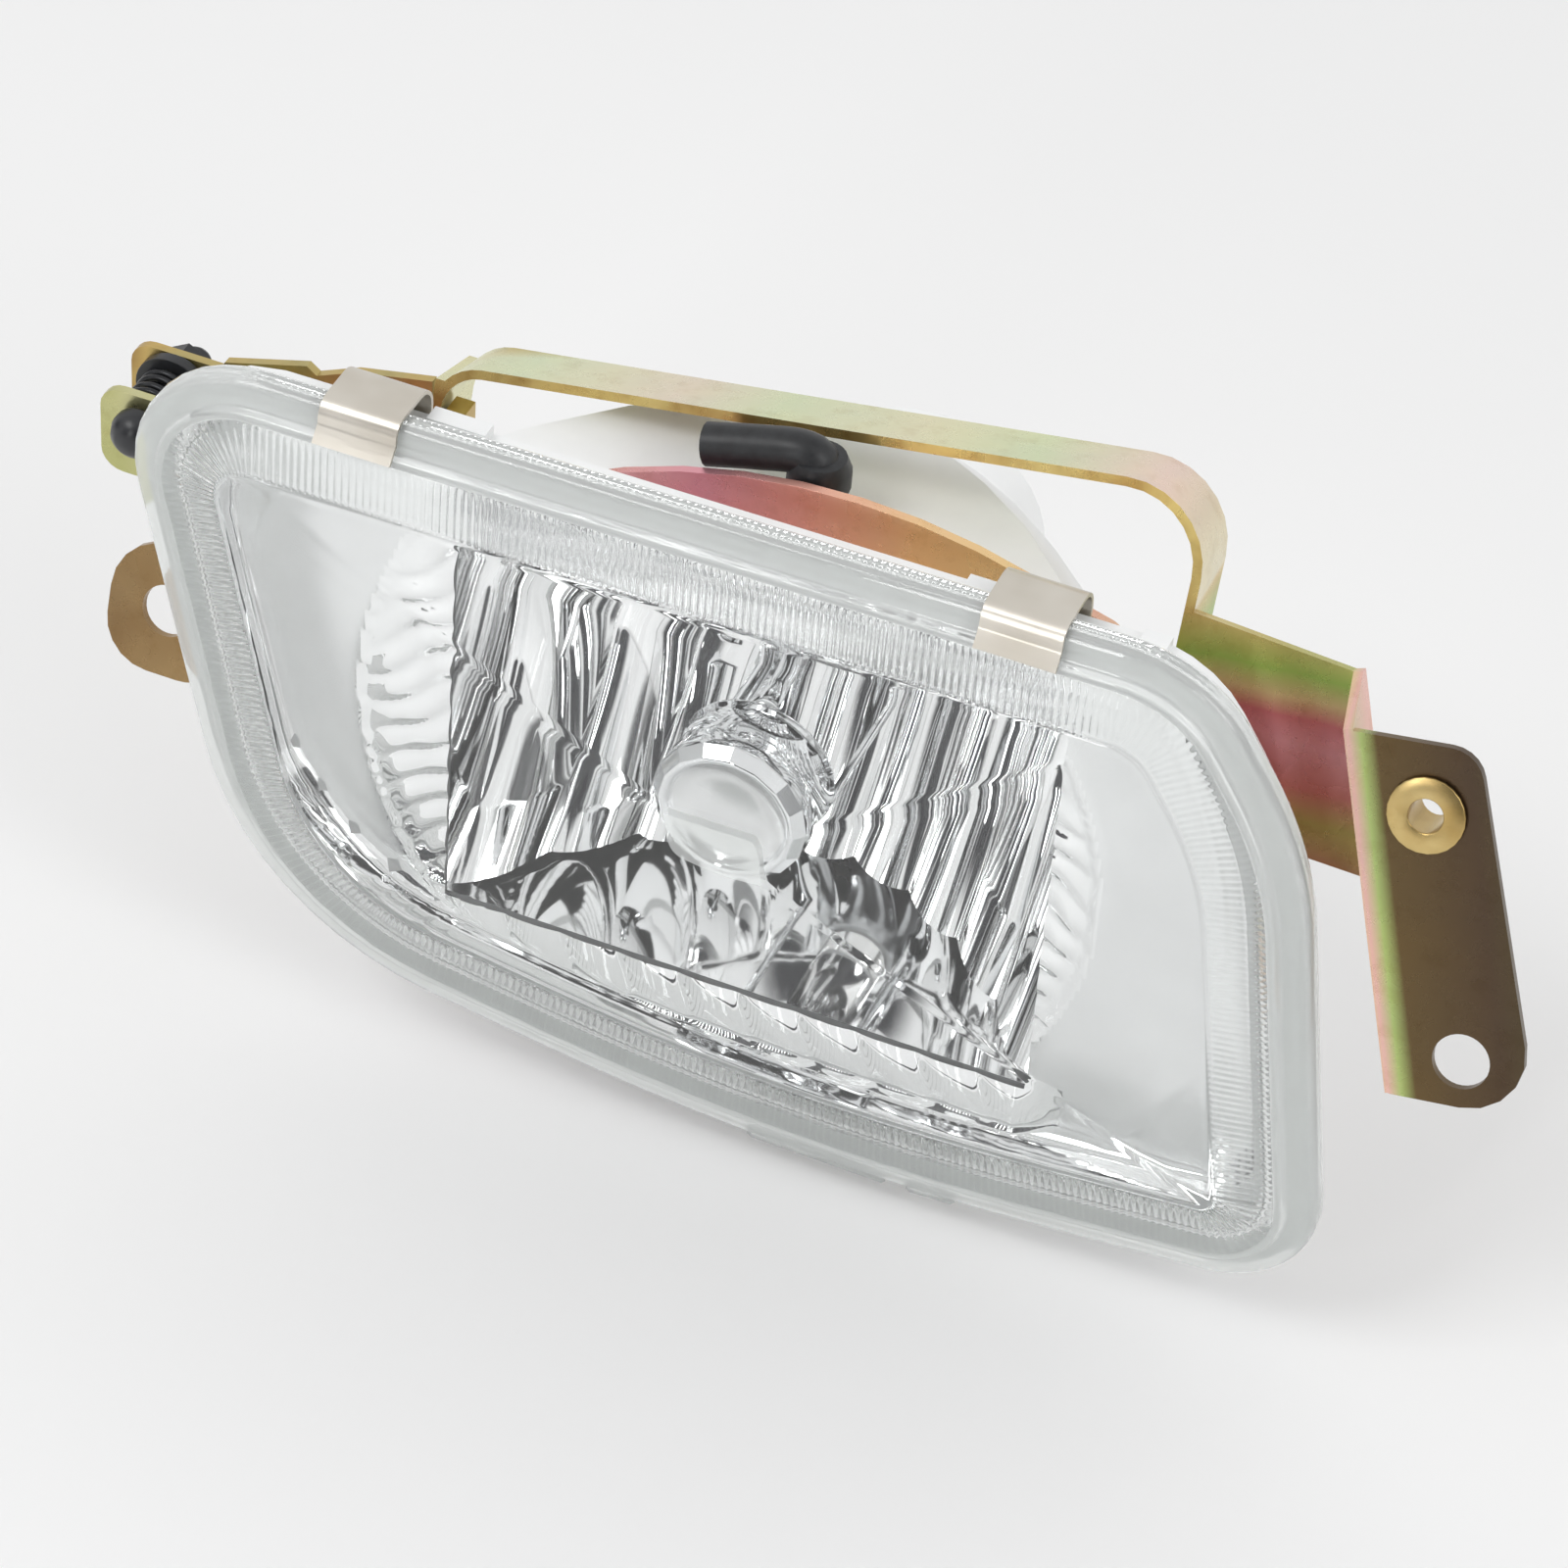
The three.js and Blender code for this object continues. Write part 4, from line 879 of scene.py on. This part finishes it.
def build_floor():
    """A sheet of pale paper under the lamp, a little below its lowest point."""
    half = FLOOR_SIZE / 2
    z = min(CAD_BOX[0][2], CAD_BOX[1][2]) - FLOOR_BELOW
    me = bpy.data.meshes.new("floor")
    corners = [(-half, -half, 0), (half, -half, 0), (half, half, 0), (-half, half, 0)]
    me.from_pydata(corners, [], [(0, 1, 2, 3)])
    m = Nodes("paper_floor")
    paper = m.ramp(m.noise(3.0, 2.0), [(0.3, (0.90, 0.90, 0.90)), (0.7, (0.92, 0.92, 0.92))])
    me.materials.append(m.set(Base_Color=paper, Roughness=0.9))
    o = bpy.data.objects.new("floor", me)
    bpy.context.scene.collection.objects.link(o)
    o.location = (0, 0, z)
    o.rotation_euler = (0, 0, math.pi)


build_floor()


def light(name, at, towards, size, power):
    d = bpy.data.lights.new(name, "AREA")
    d.shape = "RECTANGLE"
    d.size, d.size_y = size
    d.energy = power
    o = bpy.data.objects.new(name, d)
    bpy.context.scene.collection.objects.link(o)
    aim = (Vector(towards) - Vector(at)).to_track_quat("-Z", "Y")
    o.matrix_world = Matrix.Translation(at) @ aim.to_matrix().to_4x4()


CENTRE = P(0, 10, 0)
light("key_light", (-0.8, -0.75, 1.25), CENTRE, (0.7, 0.5), 6)
light("fill_light", (1.1, -0.5, 0.8), CENTRE, (0.4, 0.8), 3.5)
light("front_strip", (-0.35, -1.2, 0.42), CENTRE, (0.12, 0.7), 2.2)

# directions seen from the lamp, with the cone's inner and outer half angles in degrees
DARK_GAPS = [
    ((-0.1, -1.0, 0.26), 26, 38), (tuple(back), 11, 15), ((1.0, -0.25, 0.15), 12, 18),
    ((-1.0, -0.1, 0.1), 12, 18), ((0.3, 0.4, 1.0), 8, 11), ((-0.55, -0.5, 0.85), 6, 9),
]
TENT_STRENGTH = 0.86


def studio_world():
    """A white tent round the lamp, with dark gaps where the viewer stands and between its sheets."""
    world = bpy.data.worlds.new("studio")
    bpy.context.scene.world = world
    world.use_nodes = True
    t = world.node_tree
    bg = t.nodes["Background"]

    def node(kind, **values):
        n = t.nodes.new(kind)
        for key, value in values.items():
            setattr(n, key, value)
        return n

    coord = node("ShaderNodeTexCoord").outputs["Generated"]

    def window(direction, inner, outer):
        """1 inside a cone of directions, 0 outside it."""
        dot = node("ShaderNodeVectorMath", operation="DOT_PRODUCT")
        dot.inputs[1].default_value = Vector(direction).normalized()
        t.links.new(coord, dot.inputs[0])
        m = node("ShaderNodeMapRange", interpolation_type="SMOOTHSTEP")
        m.inputs["From Min"].default_value = math.cos(math.radians(outer))
        m.inputs["From Max"].default_value = math.cos(math.radians(inner))
        t.links.new(dot.outputs["Value"], m.inputs["Value"])
        return m.outputs["Result"]

    value = None
    for direction, inner, outer in DARK_GAPS:
        w = window(direction, inner, outer)
        if value is None:
            value = w
        else:
            m = node("ShaderNodeMath", operation="MAXIMUM")
            t.links.new(value, m.inputs[0])
            t.links.new(w, m.inputs[1])
            value = m.outputs[0]
    ramp = node("ShaderNodeValToRGB")
    ramp.color_ramp.elements[0].color = (1.0, 1.0, 1.0, 1)
    ramp.color_ramp.elements[1].color = (0.03, 0.03, 0.035, 1)
    t.links.new(value, ramp.inputs["Fac"])
    t.links.new(ramp.outputs["Color"], bg.inputs["Color"])
    bg.inputs["Strength"].default_value = TENT_STRENGTH


studio_world()

bpy.context.scene.view_settings.view_transform = "Standard"
